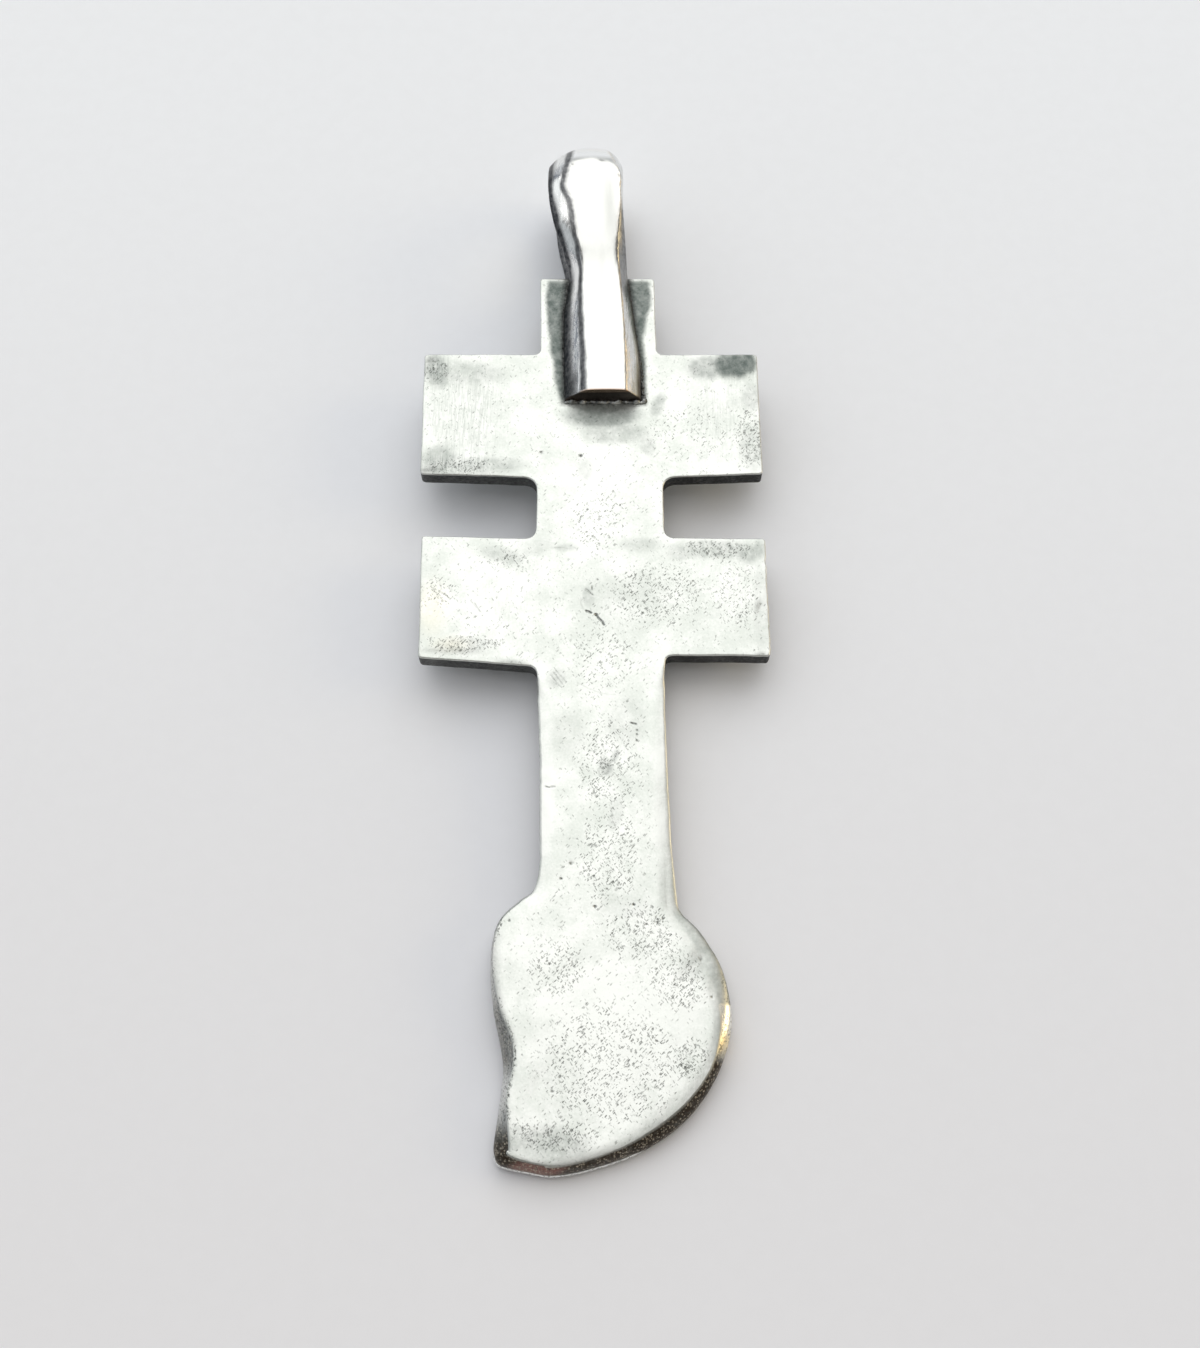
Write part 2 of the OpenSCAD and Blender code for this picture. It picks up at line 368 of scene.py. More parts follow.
castLook = {
    "silver": (0.515, 0.539, 0.504),
    "paleSilver": (0.637, 0.648, 0.621),
    # rubbed silver, also the colour of the painted highlights
    "rubbed": (0.90, 0.91, 0.89),
    # tarnish, also the colour of painted shade beside the bail, below the strap's end and on the right
    # foot's facet
    "tarnishAndShade": (0.10, 0.118, 0.11),
    # soot, also the colour of painted shade at the strap's seam
    "sootAndShade": (0.018, 0.018, 0.018),
    "rimSoot": (0.05, 0.037, 0.026),
    "rimFleck": (0.54, 0.48, 0.38),
    # painted pink reflection on the foot's lower rim
    "rimPinkReflection": (0.24, 0.13, 0.11),
    # gold heat tint, also the colour of the painted glint on the right rim
    "goldTintAndGlint": (1.0, 0.84, 0.54),
    "pit": (0.05, 0.055, 0.05),
    "pits": {"Scale": 14500.0, "Clumping": 0.24, "Angle": 0.75, "Stretch": 0.32},
    "crossPits": {"Scale": 15000.0, "Clumping": 0.26, "Angle": -0.6, "Stretch": 0.34},
    "bigPits": {"Scale": 6500.0, "Clumping": 0.2, "Stretch": 0.7},
    "bigPitsFrom": 0.42,  # the speckle mask where big pits begin
    "pitShares": (0.72, 0.68, 0.8),
    "flecks": {"Scale": 9000.0, "Density": 0.95, "Clumping": 0.2, "Size": 0.5},
    "fleckShare": 0.75,
    "brush": {"Angle": 0.03, "Scale": 13000.0, "Stretch": 0.045},
    "brushEdge": (0.42, 0.68),
    "brushShare": 0.6,
    "cloud": (420.0, 5.0, 0.66),  # scale, detail and roughness of a noise
    "cloudEdge": (0.3, 0.68),
    "grain": (7600.0, 3.0, 0.6),
    "grainShare": 1.5,
    "peel": (1700.0, 3.0, 0.55),
    "tarnishAndShadeEdge": {"Scale": 2600.0, "Breakup": 0.7},
    "sootAndShadeEdge": {"Scale": 5200.0, "Breakup": 0.5},
    "rough": 0.36,
    "roughTarnishAndShade": 0.44,
    "roughSootAndShade": 0.5,
    "roughRubbed": 0.22,
}


def castSilver():
    material, tree, shader, coords = newMaterial("castSilver")
    look = castLook
    density, wearAndHighlight = maskNode(tree, "speckle"), maskNode(tree, "wearAndHighlight")
    bigDensity = minus(tree, density, look["bigPitsFrom"])
    pits = placeGroup(tree, "pits", coords, {**look["pits"], "Density": density})
    cross = placeGroup(tree, "pits", coords, {**look["crossPits"], "Density": density})
    bigPits = placeGroup(tree, "pits", coords, {**look["bigPits"], "Density": bigDensity})
    flecks = placeGroup(tree, "pits", coords, look["flecks"])["Pits"]
    fine = placeGroup(tree, "brush", coords, look["brush"])[0]
    tarnishAndShade = grimeAndShadeMask(tree, coords, "tarnishAndShade", look["tarnishAndShadeEdge"])
    sootAndShade = grimeAndShadeMask(tree, coords, "sootAndShade", look["sootAndShadeEdge"])
    cloud, grain, peel = (noiseNode(tree, coords, *look[name]) for name in ("cloud", "grain", "peel"))
    brushed = times(tree, maskNode(tree, "brushed"), stepNode(tree, fine, *look["brushEdge"]))
    grain = times(tree, minus(tree, grain, 0.5), look["grainShare"])
    # the polish mask also carries painted highlights on the lower stem's side slopes
    clean = plus(tree, grain, maskNode(tree, "polishAndHighlight"))
    tone = mathNode(tree, "ADD", stepNode(tree, cloud, *look["cloudEdge"]), clean, clamp=True)
    # the rim's colour, with a painted pink reflection
    rimColour = layered(tree, look["rimSoot"], [
        (maskNode(tree, "pinkReflection"), look["rimPinkReflection"]),
        (times(tree, flecks, look["fleckShare"]), look["rimFleck"]),
    ])
    # tarnish, tint, soot and wear below also carry painted shade, a painted glint and painted highlights
    base = layered(tree, look["silver"], [
        (tone, look["paleSilver"]),
        (maskNode(tree, "goldTintAndGlint"), look["goldTintAndGlint"]),
        (tarnishAndShade, look["tarnishAndShade"]),
        (times(tree, brushed, look["brushShare"]), look["tarnishAndShade"]),
        (sootAndShade, mixColour(tree, maskNode(tree, "rim"), look["sootAndShade"], rimColour)),
        (wearAndHighlight, look["rubbed"]),
    ])
    for layer, share in zip((pits, cross, bigPits), look["pitShares"]):
        base = mixColour(tree, times(tree, layer["Pits"], share), base, look["pit"])
    feed(tree, shader["Base Color"], base)
    feed(tree, shader["Roughness"], layered(tree, look["rough"], [
        (tarnishAndShade, look["roughTarnishAndShade"]), (sootAndShade, look["roughSootAndShade"]), (wearAndHighlight, look["roughRubbed"]),
    ], mixValue))
    bumpInto(tree, shader, [
        (peel, 0.00012, 0.12),
        (pits["Height"], 0.00002, 0.4),
        (bigPits["Height"], 0.00004, 0.4),
        (fine, 0.00001, 0.3),
    ])
    return material


stripLook = {
    "silver": (0.93, 0.93, 0.915),
    "dull": (0.46, 0.465, 0.445),
    "tarnishAndShade": (0.42, 0.43, 0.43),
    # the colour of painted reflection and shade on the flanks, in the loop and on the limb behind, and of
    # soot on the burnt end
    "sootAndShade": (0.022, 0.024, 0.03),
    "scorch": (0.055, 0.038, 0.031),
    "scorchPale": (0.36, 0.245, 0.18),
    "scorchBand": 0.00026,
    "scorchEdge": (0, 18.0, 1.36),  # the burnt end's upper edge, in the drawing's millimetres
    # heat tint, also the colour of painted glints along the right edge and at the end's corner
    "goldTintAndGlint": (0.74, 0.60, 0.38),
    "pits": {"Scale": 9000.0, "Density": 0.3, "Clumping": 0.3},
    "pitShare": 0.3,
    "fine": {"Angle": 0.0, "Scale": 14000.0, "Stretch": 0.03},
    "fineEdge": (0.35, 0.75),
    "streaks": {"Angle": 0.06, "Scale": 4200.0, "Stretch": 0.12},
    "streakEdge": (0.36, 0.66),
    "streakShare": 0.22,
    "sootAndShadeEdge": {"Scale": 3600.0, "Breakup": 0.5},
    "goldTintAndGlintEdge": {"Scale": 5200.0, "Breakup": 0.9},
    "rough": 0.10,
    "roughFine": 0.2,
    "roughSootAndShade": 0.36,
    "roughScorch": 0.22,
}


def polishedSilver():
    material, tree, shader, coords = newMaterial("polishedSilver")
    look = stripLook
    pits = placeGroup(tree, "pits", coords, look["pits"])
    fine = placeGroup(tree, "brush", coords, look["fine"])[0]
    streaks = placeGroup(tree, "brush", coords, look["streaks"])[0]
    sootAndShade = grimeAndShadeMask(tree, coords, "sootAndShade", look["sootAndShadeEdge"])
    goldTintAndGlint = grimeAndShadeMask(tree, coords, "goldTintAndGlint", look["goldTintAndGlintEdge"])
    side = times(tree, maskNode(tree, "side"), stepNode(tree, streaks, *look["streakEdge"]))
    # the burnt end is brown along its upper edge and nearly black below
    upper, band = (toRow @ Vector(look["scorchEdge"])).z, look["scorchBand"]
    burnt = stepNode(tree, splitVector(tree, coords)["Z"], upper - band, upper - 0.4 * band)
    scorch = maskNode(tree, "scorch")
    # the soot layer here is mostly painted reflection and shade, and the gold layer holds painted glints
    feed(tree, shader["Base Color"], layered(tree, look["silver"], [
        (maskNode(tree, "face"), look["dull"]),
        (times(tree, pits["Pits"], look["pitShare"]), look["tarnishAndShade"]),
        (times(tree, side, look["streakShare"]), look["tarnishAndShade"]),
        (goldTintAndGlint, look["goldTintAndGlint"]),
        (sootAndShade, look["sootAndShade"]),
        (scorch, mixColour(tree, burnt, look["scorch"], look["scorchPale"])),
    ]))
    feed(tree, shader["Roughness"], layered(tree, look["rough"], [
        (stepNode(tree, fine, *look["fineEdge"]), look["roughFine"]),
        (sootAndShade, look["roughSootAndShade"]),
        (scorch, look["roughScorch"]),
    ], mixValue))
    bumpInto(tree, shader, [
        (fine, 0.000004, 0.25),
        (pits["Height"], 0.000006, 0.3),
        (side, 0.00002, 0.4),
    ])
    return material


solderLook = {
    "silver": (0.62, 0.635, 0.62),
    "grey": (0.055, 0.055, 0.053),
    "pits": {"Scale": 6000.0, "Density": 0.6, "Clumping": 0.6},
    "pitShare": 0.8,
    "sootAndShadeEdge": {"Scale": 2600.0, "Breakup": 1.1},
    "rough": 0.34,
    "roughSootAndShade": 0.55,
}


def solderSilver():
    material, tree, shader, coords = newMaterial("solderSilver")
    look = solderLook
    pits = placeGroup(tree, "pits", coords, look["pits"])
    sootAndShade = grimeAndShadeMask(tree, coords, "sootAndShade", look["sootAndShadeEdge"])
    feed(tree, shader["Base Color"], layered(tree, look["silver"], [
        (sootAndShade, look["grey"]),
        (times(tree, pits["Pits"], look["pitShare"]), look["grey"]),
    ]))
    feed(tree, shader["Roughness"], mixValue(tree, sootAndShade, look["rough"], look["roughSootAndShade"]))
    bumpInto(tree, shader, [(pits["Height"], 0.00002, 0.5)])
    return material


plate = {
    "armThickness": 1.25,
    "footThickness": 1.7,
    "reachLeft": 11.0,
    "reachRight": 10.0,
    "stemTop": 26.9,
    "upperArmTop": 21.4,
    "upperArmLow": 13.05,
    "lowerArmTop": 8.85,
    "lowerArmLow": 1.1,
    "stemHalf": 3.87,
    "cornerCut": 0.25,
    "filletCut": 0.7,
    "footEnd": -28.5,
    "edgeRound": 0.12,
    "backEdge": 0.045,
    "lip": 0.09,
    "lipStart": -26.9,
    "spacing": 0.17,
    "frontSpacing": 0.45,
    "relief": [(0.05, 5.5, 3.1), (0.012, 1.6, 8.4), (0.006, 0.55, 2.7)],  # height, size, patch of noise
    "filing": [(0.03, 2.2, 5.3), (0.012, 0.5, 1.9)],  # the same for the outline
}

# the lower stem and the foot, down the right side and up the left:
# u, v, width of the rim's slope, its depth as a share of the thickness, width of the soft bevel
blade = [
    (3.82, -0.8, 0.14, 0.1, 0.35), (3.82, -3, 0.16, 0.1, 0.6), (3.95, -7, 0.24, 0.11, 0.7),
    (4.1, -10.5, 0.36, 0.12, 0.6), (4.3, -13.3, 0.6, 0.14, 0.4), (4.6, -14.25, 0.6, 0.16, 0.4),
    (5.55, -15.2, 0.8, 0.2, 0.4), (6.68, -17.1, 0.9, 0.22, 0.4), (7.2, -19.2, 0.74, 0.27, 0.4),
    (7.2, -20.85, 0.64, 0.36, 0.4), (6.6, -22.8, 0.5, 0.5, 0.6), (5.55, -24.55, 0.58, 0.5, 0.7),
    (4.0, -26.1, 0.68, 0.5, 0.7), (1.88, -27.38, 0.62, 0.5, 0.5), (-0.3, -28.12, 0.52, 0.5, 0.4),
    (-2.5, -28.5, 0.48, 0.5, 0.3), (-4.06, -28.3, 0.48, 0.5, 0.15), (-5.0, -28.12, 0.6, 0.5, 0.1),
    (-5.55, -27.9, 0.8, 0.5, 0.1), (-5.77, -27.45, 0.86, 0.5, 0.1), (-5.72, -26.6, 0.78, 0.5, 0.1),
    (-5.45, -24.4, 0.34, 0.5, 0.15), (-5.33, -22.9, 0.5, 0.5, 0.2), (-5.5, -21.6, 0.66, 0.5, 0.2),
    (-5.9, -19.6, 0.36, 0.45, 0.3), (-6.12, -17.4, 0.16, 0.4, 0.4), (-6, -15.6, 0.14, 0.3, 0.5),
    (-5.5, -14.4, 0.14, 0.2, 0.6), (-4.5, -13.5, 0.16, 0.16, 0.5), (-3.75, -12.95, 0.16, 0.1, 0.5),
    (-3.46, -11.6, 0.14, 0.1, 0.7), (-3.46, -8.5, 0.14, 0.1, 0.8), (-3.52, -5, 0.14, 0.1, 0.8),
    (-3.68, -1.5, 0.14, 0.1, 0.5),
]


def cutCorner(before, corner, after, cut, steps):
    before, corner, after = (np.array(p[:2], float) for p in (before, corner, after))
    start = corner + cut * (before - corner) / np.linalg.norm(before - corner)
    end = corner + cut * (after - corner) / np.linalg.norm(after - corner)
    t = np.linspace(0, 1, steps + 1)[:, None]
    return start * (1 - t) ** 2 + corner * 2 * t * (1 - t) + end * t ** 2


def crossSide(rows, before, after):
    # square edges: no slope and no bevel
    corners = zip([before, *rows], rows, [*rows[1:], after])
    made = np.vstack([cutCorner(a, b, c, b[2], 9) for a, b, c in corners])
    zero = np.zeros(len(made))
    return np.column_stack([made, zero, zero + 0.3, zero])


def crossCorners():
    # u, v and cut of the corners down the right side and up the left side
    cut, fillet, top = plate["cornerCut"], plate["filletCut"], plate["stemTop"]
    left, right, stem = plate["reachLeft"], plate["reachRight"], plate["stemHalf"]
    upperTop, upperLow = plate["upperArmTop"], plate["upperArmLow"]
    lowerTop, lowerLow = plate["lowerArmTop"], plate["lowerArmLow"]
    rightSide = [
        (3.45, top, cut), (3.55, upperTop, 0.45),
        (right - 0.15, upperTop - 0.02, cut), (right, upperLow, cut),
        (stem, upperLow - 0.2, fillet + 0.15), (stem, lowerTop - 0.05, fillet),
        (right, lowerTop - 0.12, cut), (right + 0.1, lowerLow + 0.05, cut),
        (3.86, lowerLow + 0.1, 0.5),
    ]
    leftSide = [
        (-3.72, lowerLow - 0.6, 0.6),
        (-left + 0.25, lowerLow - 0.05, cut), (-left + 0.19, lowerTop + 0.07, cut),
        (-stem, lowerTop - 0.13, fillet + 0.1), (-stem, upperLow - 0.25, fillet + 0.15),
        (-left - 0.02, upperLow + 0.03, cut), (-left - 0.03, upperTop, cut),
        (-3.72, upperTop, 0.45), (-3.82, top, cut),
    ]
    return rightSide, leftSide


def plateOutline():
    # clockwise rows of u, v, the slope's width and depth, and the bevel, no further apart than the spacing
    rightSide, leftSide = crossCorners()
    bladeRows = smoothRows(blade, 8)
    rows = np.vstack([
        crossSide(rightSide, leftSide[-1], bladeRows[0]),
        bladeRows,
        crossSide(leftSide, bladeRows[-1], rightSide[0]),
    ])
    closed = np.vstack([rows, rows[:1]])
    made = []
    for a, b in zip(closed[:-1], closed[1:]):
        pieces = max(1, math.ceil(np.linalg.norm(b[:2] - a[:2]) / plate["spacing"]))
        made += [a + (b - a) * k / pieces for k in range(pieces)]
    return np.array(made)


def unit(rows):
    return rows / np.linalg.norm(rows, axis=1)[:, None]


def outlineNormals(uv):
    along = unit(uv - np.roll(uv, 1, 0)) + unit(np.roll(uv, -1, 0) - uv)
    return unit(np.column_stack([-along[:, 1], along[:, 0]]))


def calmed(outward, slope):
    # where the slope is wide the directions turn more slowly, so that the rings don't cross
    slow = outward
    for _ in range(20):
        slow = 0.5 * slow + 0.25 * (np.roll(slow, 1, 0) + np.roll(slow, -1, 0))
    share = ease((slope - 0.4) / 0.3)[:, None]
    return unit(outward * (1 - share) + slow * share)


def plateThickness(v):
    share = (plate["upperArmTop"] - v) / (plate["upperArmTop"] - plate["footEnd"])
    return plate["armThickness"] + (plate["footThickness"] - plate["armThickness"]) * share


def backDrop(inset, slope, bevel):
    # depth of the back below its flat, as a share of the thickness
    x = np.clip((inset - slope) / (plate["edgeRound"] + bevel), 0, 1)
    crisp = 1 - np.sqrt(1 - (1 - x) ** 2)
    soft = (1 - x) ** 1.7
    share = np.clip(bevel / 0.4, 0, 1)
    return plate["backEdge"] * (crisp * (1 - share) + soft * share)


# marks left on the back: u, v, half length, half width, angle, depth
dents = [
    (-3.6, 14.5, 0.3, 0.14, 20, 0.05), (-1.2, 14.3, 0.2, 0.14, 0, 0.06), (-1.6, -11.4, 0.2, 0.14, 0, 0.03),
    (9.6, 4.2, 0.7, 0.35, 80, 0.08), (8.3, 17.2, 2.6, 1.4, 10, 0.04), (-9.0, 15.0, 2.2, 1.6, 30, 0.04),
    (5.2, -17.5, 2.0, 1.0, 60, 0.04), (-3.2, -23.5, 1.8, 0.9, 80, 0.04), (1.8, 4.4, 2.6, 1.5, 0, 0.03),
    (-6.5, 4.0, 2.4, 1.2, 0, 0.03), (-0.24, 3.77, 0.16, 0.12, 0, 0.06), (-0.28, -13.9, 0.14, 0.1, 0, 0.05),
    (1.9, -13.8, 0.14, 0.1, 30, 0.05),
]
# where the outline is nicked: u, v, half length, half width, angle, strength
edgeWear = [(10.05, 4.4, 3.8, 1.0, 90, 1.0), (-3.5, -7.0, 5.0, 0.6, 90, 0.6)]
# thin dark nicks and scratches: half width, depth, line
nicks = [
    (0.05, 0.03, [(-0.84, 5.41), (-0.63, 5.2), (-0.42, 5.03)]),
    (0.04, 0.03, [(-0.48, 5.61), (-0.48, 5.35)]),
    (0.04, 0.015, [(-1.14, 4.83), (-1.16, 4.45), (-1.01, 4.12)]),
    (0.06, 0.06, [(-0.83, 4.0), (-0.7, 3.97), (-0.51, 3.88)]),
    (0.055, 0.06, [(-0.24, 3.77), (-0.05, 3.5), (0.1, 3.36), (0.24, 3.12)]),
    (0.05, 0.05, [(1.82, -3.03), (2.1, -3.1)]),
    (0.05, 0.03, [(-3.3, -6.85), (-2.95, -6.93), (-2.6, -6.88)]),
    (0.03, 0.02, [(-9.65, 5.9), (-9.5, 5.4)]), (0.03, 0.02, [(-9.5, 5.2), (-9.0, 4.8)]),
    (0.03, 0.02, [(-9.1, 5.6), (-8.9, 5.2)]), (0.03, 0.02, [(-7.7, 4.6), (-7.2, 4.0)]),
    (0.03, 0.02, [(-7.5, 4.5), (-7.1, 3.9)]), (0.03, 0.02, [(-2.75, 0.1), (-2.2, -0.65)]),
    (0.03, 0.02, [(-2.6, 0.2), (-2.0, -0.5)]), (0.03, 0.02, [(-2.9, -0.1), (-2.4, -0.75)]),
    (0.04, 0.015, [(-3.0, 8.1), (-2.4, 8.12), (-1.8, 8.03)]),
    (0.04, 0.012, [(-1.3, -0.6), (-0.6, -0.95), (0.1, -1.25), (0.9, -1.3)]),
    (0.04, 0.02, [(0.0, -6.3), (-0.1, -5.9), (0.2, -5.5), (0.5, -5.7), (0.45, -6.1), (0.1, -6.25)]),
    (0.04, 0.02, [(0.5, -5.6), (0.9, -5.2), (1.05, -4.85)]),
    (0.035, 0.015, [(0.2, -5.3), (0.3, -4.8), (0.1, -4.4)]),
    (0.035, 0.015, [(0.7, -7.5), (0.6, -8.2), (0.8, -8.8)]),
]
# small dark pits: u, v, radius
pinholes = [
    (2.15, -3.48, 0.07), (2.15, -3.74, 0.06), (2.16, -4.11, 0.07), (-0.15, 6.03, 0.06), (0.9, 6.19, 0.06),
    (1.47, 5.67, 0.06), (0.66, 5.28, 0.05), (-1.36, 2.59, 0.05), (-3.63, 14.55, 0.06),
    (-1.17, 14.28, 0.07), (-1.64, -11.45, 0.06), (-0.28, -13.93, 0.06), (1.91, -13.81, 0.06),
    (1.6, -1.7, 0.06), (-2.9, -0.9, 0.05), (-2.2, -12.3, 0.08), (0.4, -12.9, 0.06), (2.6, -14.9, 0.07),
    (5.6, -16.9, 0.07), (6.2, -19.0, 0.07), (-5.1, -14.7, 0.08), (-1.3, -10.0, 0.05), (0.8, -7.1, 0.05),
    (3.1, -21.4, 0.07), (-2.6, -24.1, 0.07),
]


def nickLines(uv):
    # depth and darkness of the nicks, their width uneven along them
    depth, dark = np.zeros(len(uv)), np.zeros(len(uv))
    ragged = 1 + 0.7 * waves(flatPoints(uv), 0.13, 6.6)
    for wide, deep, line in nicks:
        inside = ease(1 - lineDistance(uv, line)[0] / (1.4 * wide * ragged))
        depth = np.maximum(depth, deep * inside)
        dark = np.maximum(dark, min(0.8, 11 * deep) * inside)
    for u, v, radius in pinholes:
        inside = ease(1.1 - np.hypot(uv[:, 0] - u, uv[:, 1] - v) / (1.2 * radius * ragged))
        depth = np.maximum(depth, 0.6 * radius * inside)
        dark = np.maximum(dark, 0.8 * inside)
    return depth, dark


def waveSum(uv, table):
    points = flatPoints(uv)
    return sum(height * waves(points, size, offset) for height, size, offset in table)


def backRelief(uv):
    # what the casting and the file left on the flat back, in millimetres
    height = waveSum(uv, plate["relief"])
    for u, v, long, wide, angle, depth in dents:
        height -= depth * spots(uv, [(u, v, long, wide, angle, 1.0)])
    return height - nickLines(uv)[0]


def plateRings(rows, outward):
    # insets and depths of the edge from the front up to the back, one ring each
    uv, (slope, deep, bevel) = rows[:, :2], rows[:, 2:].T
    zero, upper = np.zeros(len(rows)), plate["backEdge"]
    front = plate["edgeRound"] + 0.2 * np.minimum(slope, 0.5)
    lip = plate["lip"] * ease((plate["lipStart"] - uv[:, 1]) / 0.6)
    levels = []
    # the front's rounding, then the wall, stepped in above the lower lip
    for t in np.linspace(0, 1, 6):
        levels.append((front * (1 - t) ** 2, (1 - t) ** 2 + 2 * t * (1 - t) + 0.76 * t * t))
    levels += [(zero, 0.7), (0.6 * lip, 0.66), (lip, 0.61)]
    deep = np.maximum(deep, upper + 0.03)
    for share in (0.6, 0.3):
        levels.append((lip, deep + share * np.maximum(0.56 - deep, 0.01)))
    # the rim's slope, then the edge of the back with its soft bevel
    for t in np.linspace(0, 1, 8):
        inset = lip + (slope - lip) * (0.3 * t + 0.7 * t * t)
        bend = 2 * t * (1 - t) * (0.4 * deep + 0.6 * upper)
        levels.append((inset, deep * (1 - t) ** 2 + bend + upper * t * t))
    for share in (0.08, 0.22, 0.42, 0.68, 1.0):
        inset = slope + share * plate["edgeRound"]
        levels.append((inset, backDrop(inset, slope, bevel)))
    rings = [uv - inset[:, None] * outward for inset, _ in levels]
    return rings, [depth * plateThickness(ring[:, 1]) for ring, (_, depth) in zip(rings, levels)]


def gridPoints(low, high, spacing, shift=0.0):
    # rows of points over a box, every second row moved over by the shift
    u, v = np.meshgrid(np.arange(low[0], high[0], spacing), np.arange(low[1], high[1], spacing))
    u[::2] += shift
    return np.column_stack([u.ravel(), v.ravel()])


def insideLoop(points, closed):
    inside = np.zeros(len(points), bool)
    u, v = points.T
    for a, b in zip(closed[:-1], closed[1:]):
        if a[1] != b[1]:
            crosses = (a[1] > v) != (b[1] > v)
            inside ^= crosses & (u < a[0] + (v - a[1]) * (b[0] - a[0]) / (b[1] - a[1]))
    return inside


def innerGrid(ring, spacing, extra=()):
    # jittered grid points inside a ring, with closer ones along fine marks
    grid = gridPoints(ring.min(0), ring.max(0), spacing, spacing / 2)
    rng = np.random.default_rng(7)
    grid += rng.uniform(-0.12, 0.12, grid.shape) * spacing
    for line in extra:
        line = np.array(line)
        grid = grid[lineDistance(grid, line)[0] > 0.2]
        near = gridPoints(line.min(0) - 0.25, line.max(0) + 0.25, 0.05) + 0.0007
        grid = np.vstack([grid, near[lineDistance(near, line)[0] < 0.2]])
    closed = np.vstack([ring, ring[:1]])
    grid = grid[insideLoop(grid, closed)]
    return grid[lineDistance(grid, closed)[0] > 0.45 * plate["spacing"]]


def fillFaces(ring, grid):
    # triangles over a clockwise ring and the points inside it, facing up
    points = [Vector(p) for p in np.vstack([ring, grid]).tolist()]
    loop = list(range(len(ring)))[::-1]
    _, _, faces, origins, _, _ = delaunay_2d_cdt(points, [], [loop], 1, 1e-7)
    return [[origins[i][0] for i in face] for face in faces]


def plateFaces(rings, backGrid, frontGrid):
    # quads from ring to ring, and triangles over the back and the front
    n, last = len(rings[0]), len(rings) - 1
    faces = []
    for r in range(last):
        for i in range(n):
            j = (i + 1) % n
            faces.append([r * n + i, r * n + j, (r + 1) * n + j, (r + 1) * n + i])
    backBase, frontBase = last * n, (last + 1) * n + len(backGrid)
    faces += [[backBase + i for i in face] for face in fillFaces(rings[last], backGrid)]
    for face in fillFaces(rings[0], frontGrid):
        faces.append([i if i < n else frontBase + i - n for i in reversed(face)])
    return faces


def buildPlate(material):
    rows = plateOutline()
    outline = rows[:, :2]
    outward = calmed(outlineNormals(outline), rows[:, 2])
    # the file leaves the outline a little wavy, and the right arm's end nicked
    wave = waveSum(outline, plate["filing"])
    chipped = np.clip(waves(flatPoints(outline), 0.26, 7.7) + 0.1, 0, 1)
    wave -= spots(outline, edgeWear, 0.3) * 0.09 * chipped
    outline += wave[:, None] * outward
    rings, depths = plateRings(rows, outward)
    closeUps = [line for _, _, line in nicks]
    closeUps += [[(u - 0.01, v), (u + 0.01, v)] for u, v, _ in pinholes]
    backGrid = innerGrid(rings[-1], plate["spacing"], closeUps)
    frontGrid = innerGrid(rings[0], plate["frontSpacing"])
    # the back falls away towards the nearest point of the outline
    closed = np.vstack([rows, rows[:1]])
    far, index, share = lineDistance(backGrid, closed[:, :2])
    near = closed[index] + (closed[index + 1] - closed[index]) * share[:, None]
    gridDepth = backDrop(far, near[:, 2], near[:, 4]) * plateThickness(backGrid[:, 1])
    uv = np.vstack([*rings, backGrid, frontGrid])
    depth = np.concatenate([*depths, gridDepth, plateThickness(frontGrid[:, 1])])
    thick = plateThickness(uv[:, 1])
    onBack = ease(1 - depth / (0.45 * thick))
    height = -depth + backRelief(uv) * onBack
    mesh = meshFrom("castPlate", np.column_stack([uv, height]), plateFaces(rings, backGrid, frontGrid))
    facet = np.concatenate([np.tile(rows[:, 3], len(rings)), near[:, 3], np.full(len(frontGrid), 0.3)])
    inset = np.concatenate([np.zeros(len(rings) * len(rows)), far, np.zeros(len(frontGrid))])
    paintPlate(mesh, uv, depth / thick, facet, inset)
    return finishPiece("castPlate", mesh, material, 50)


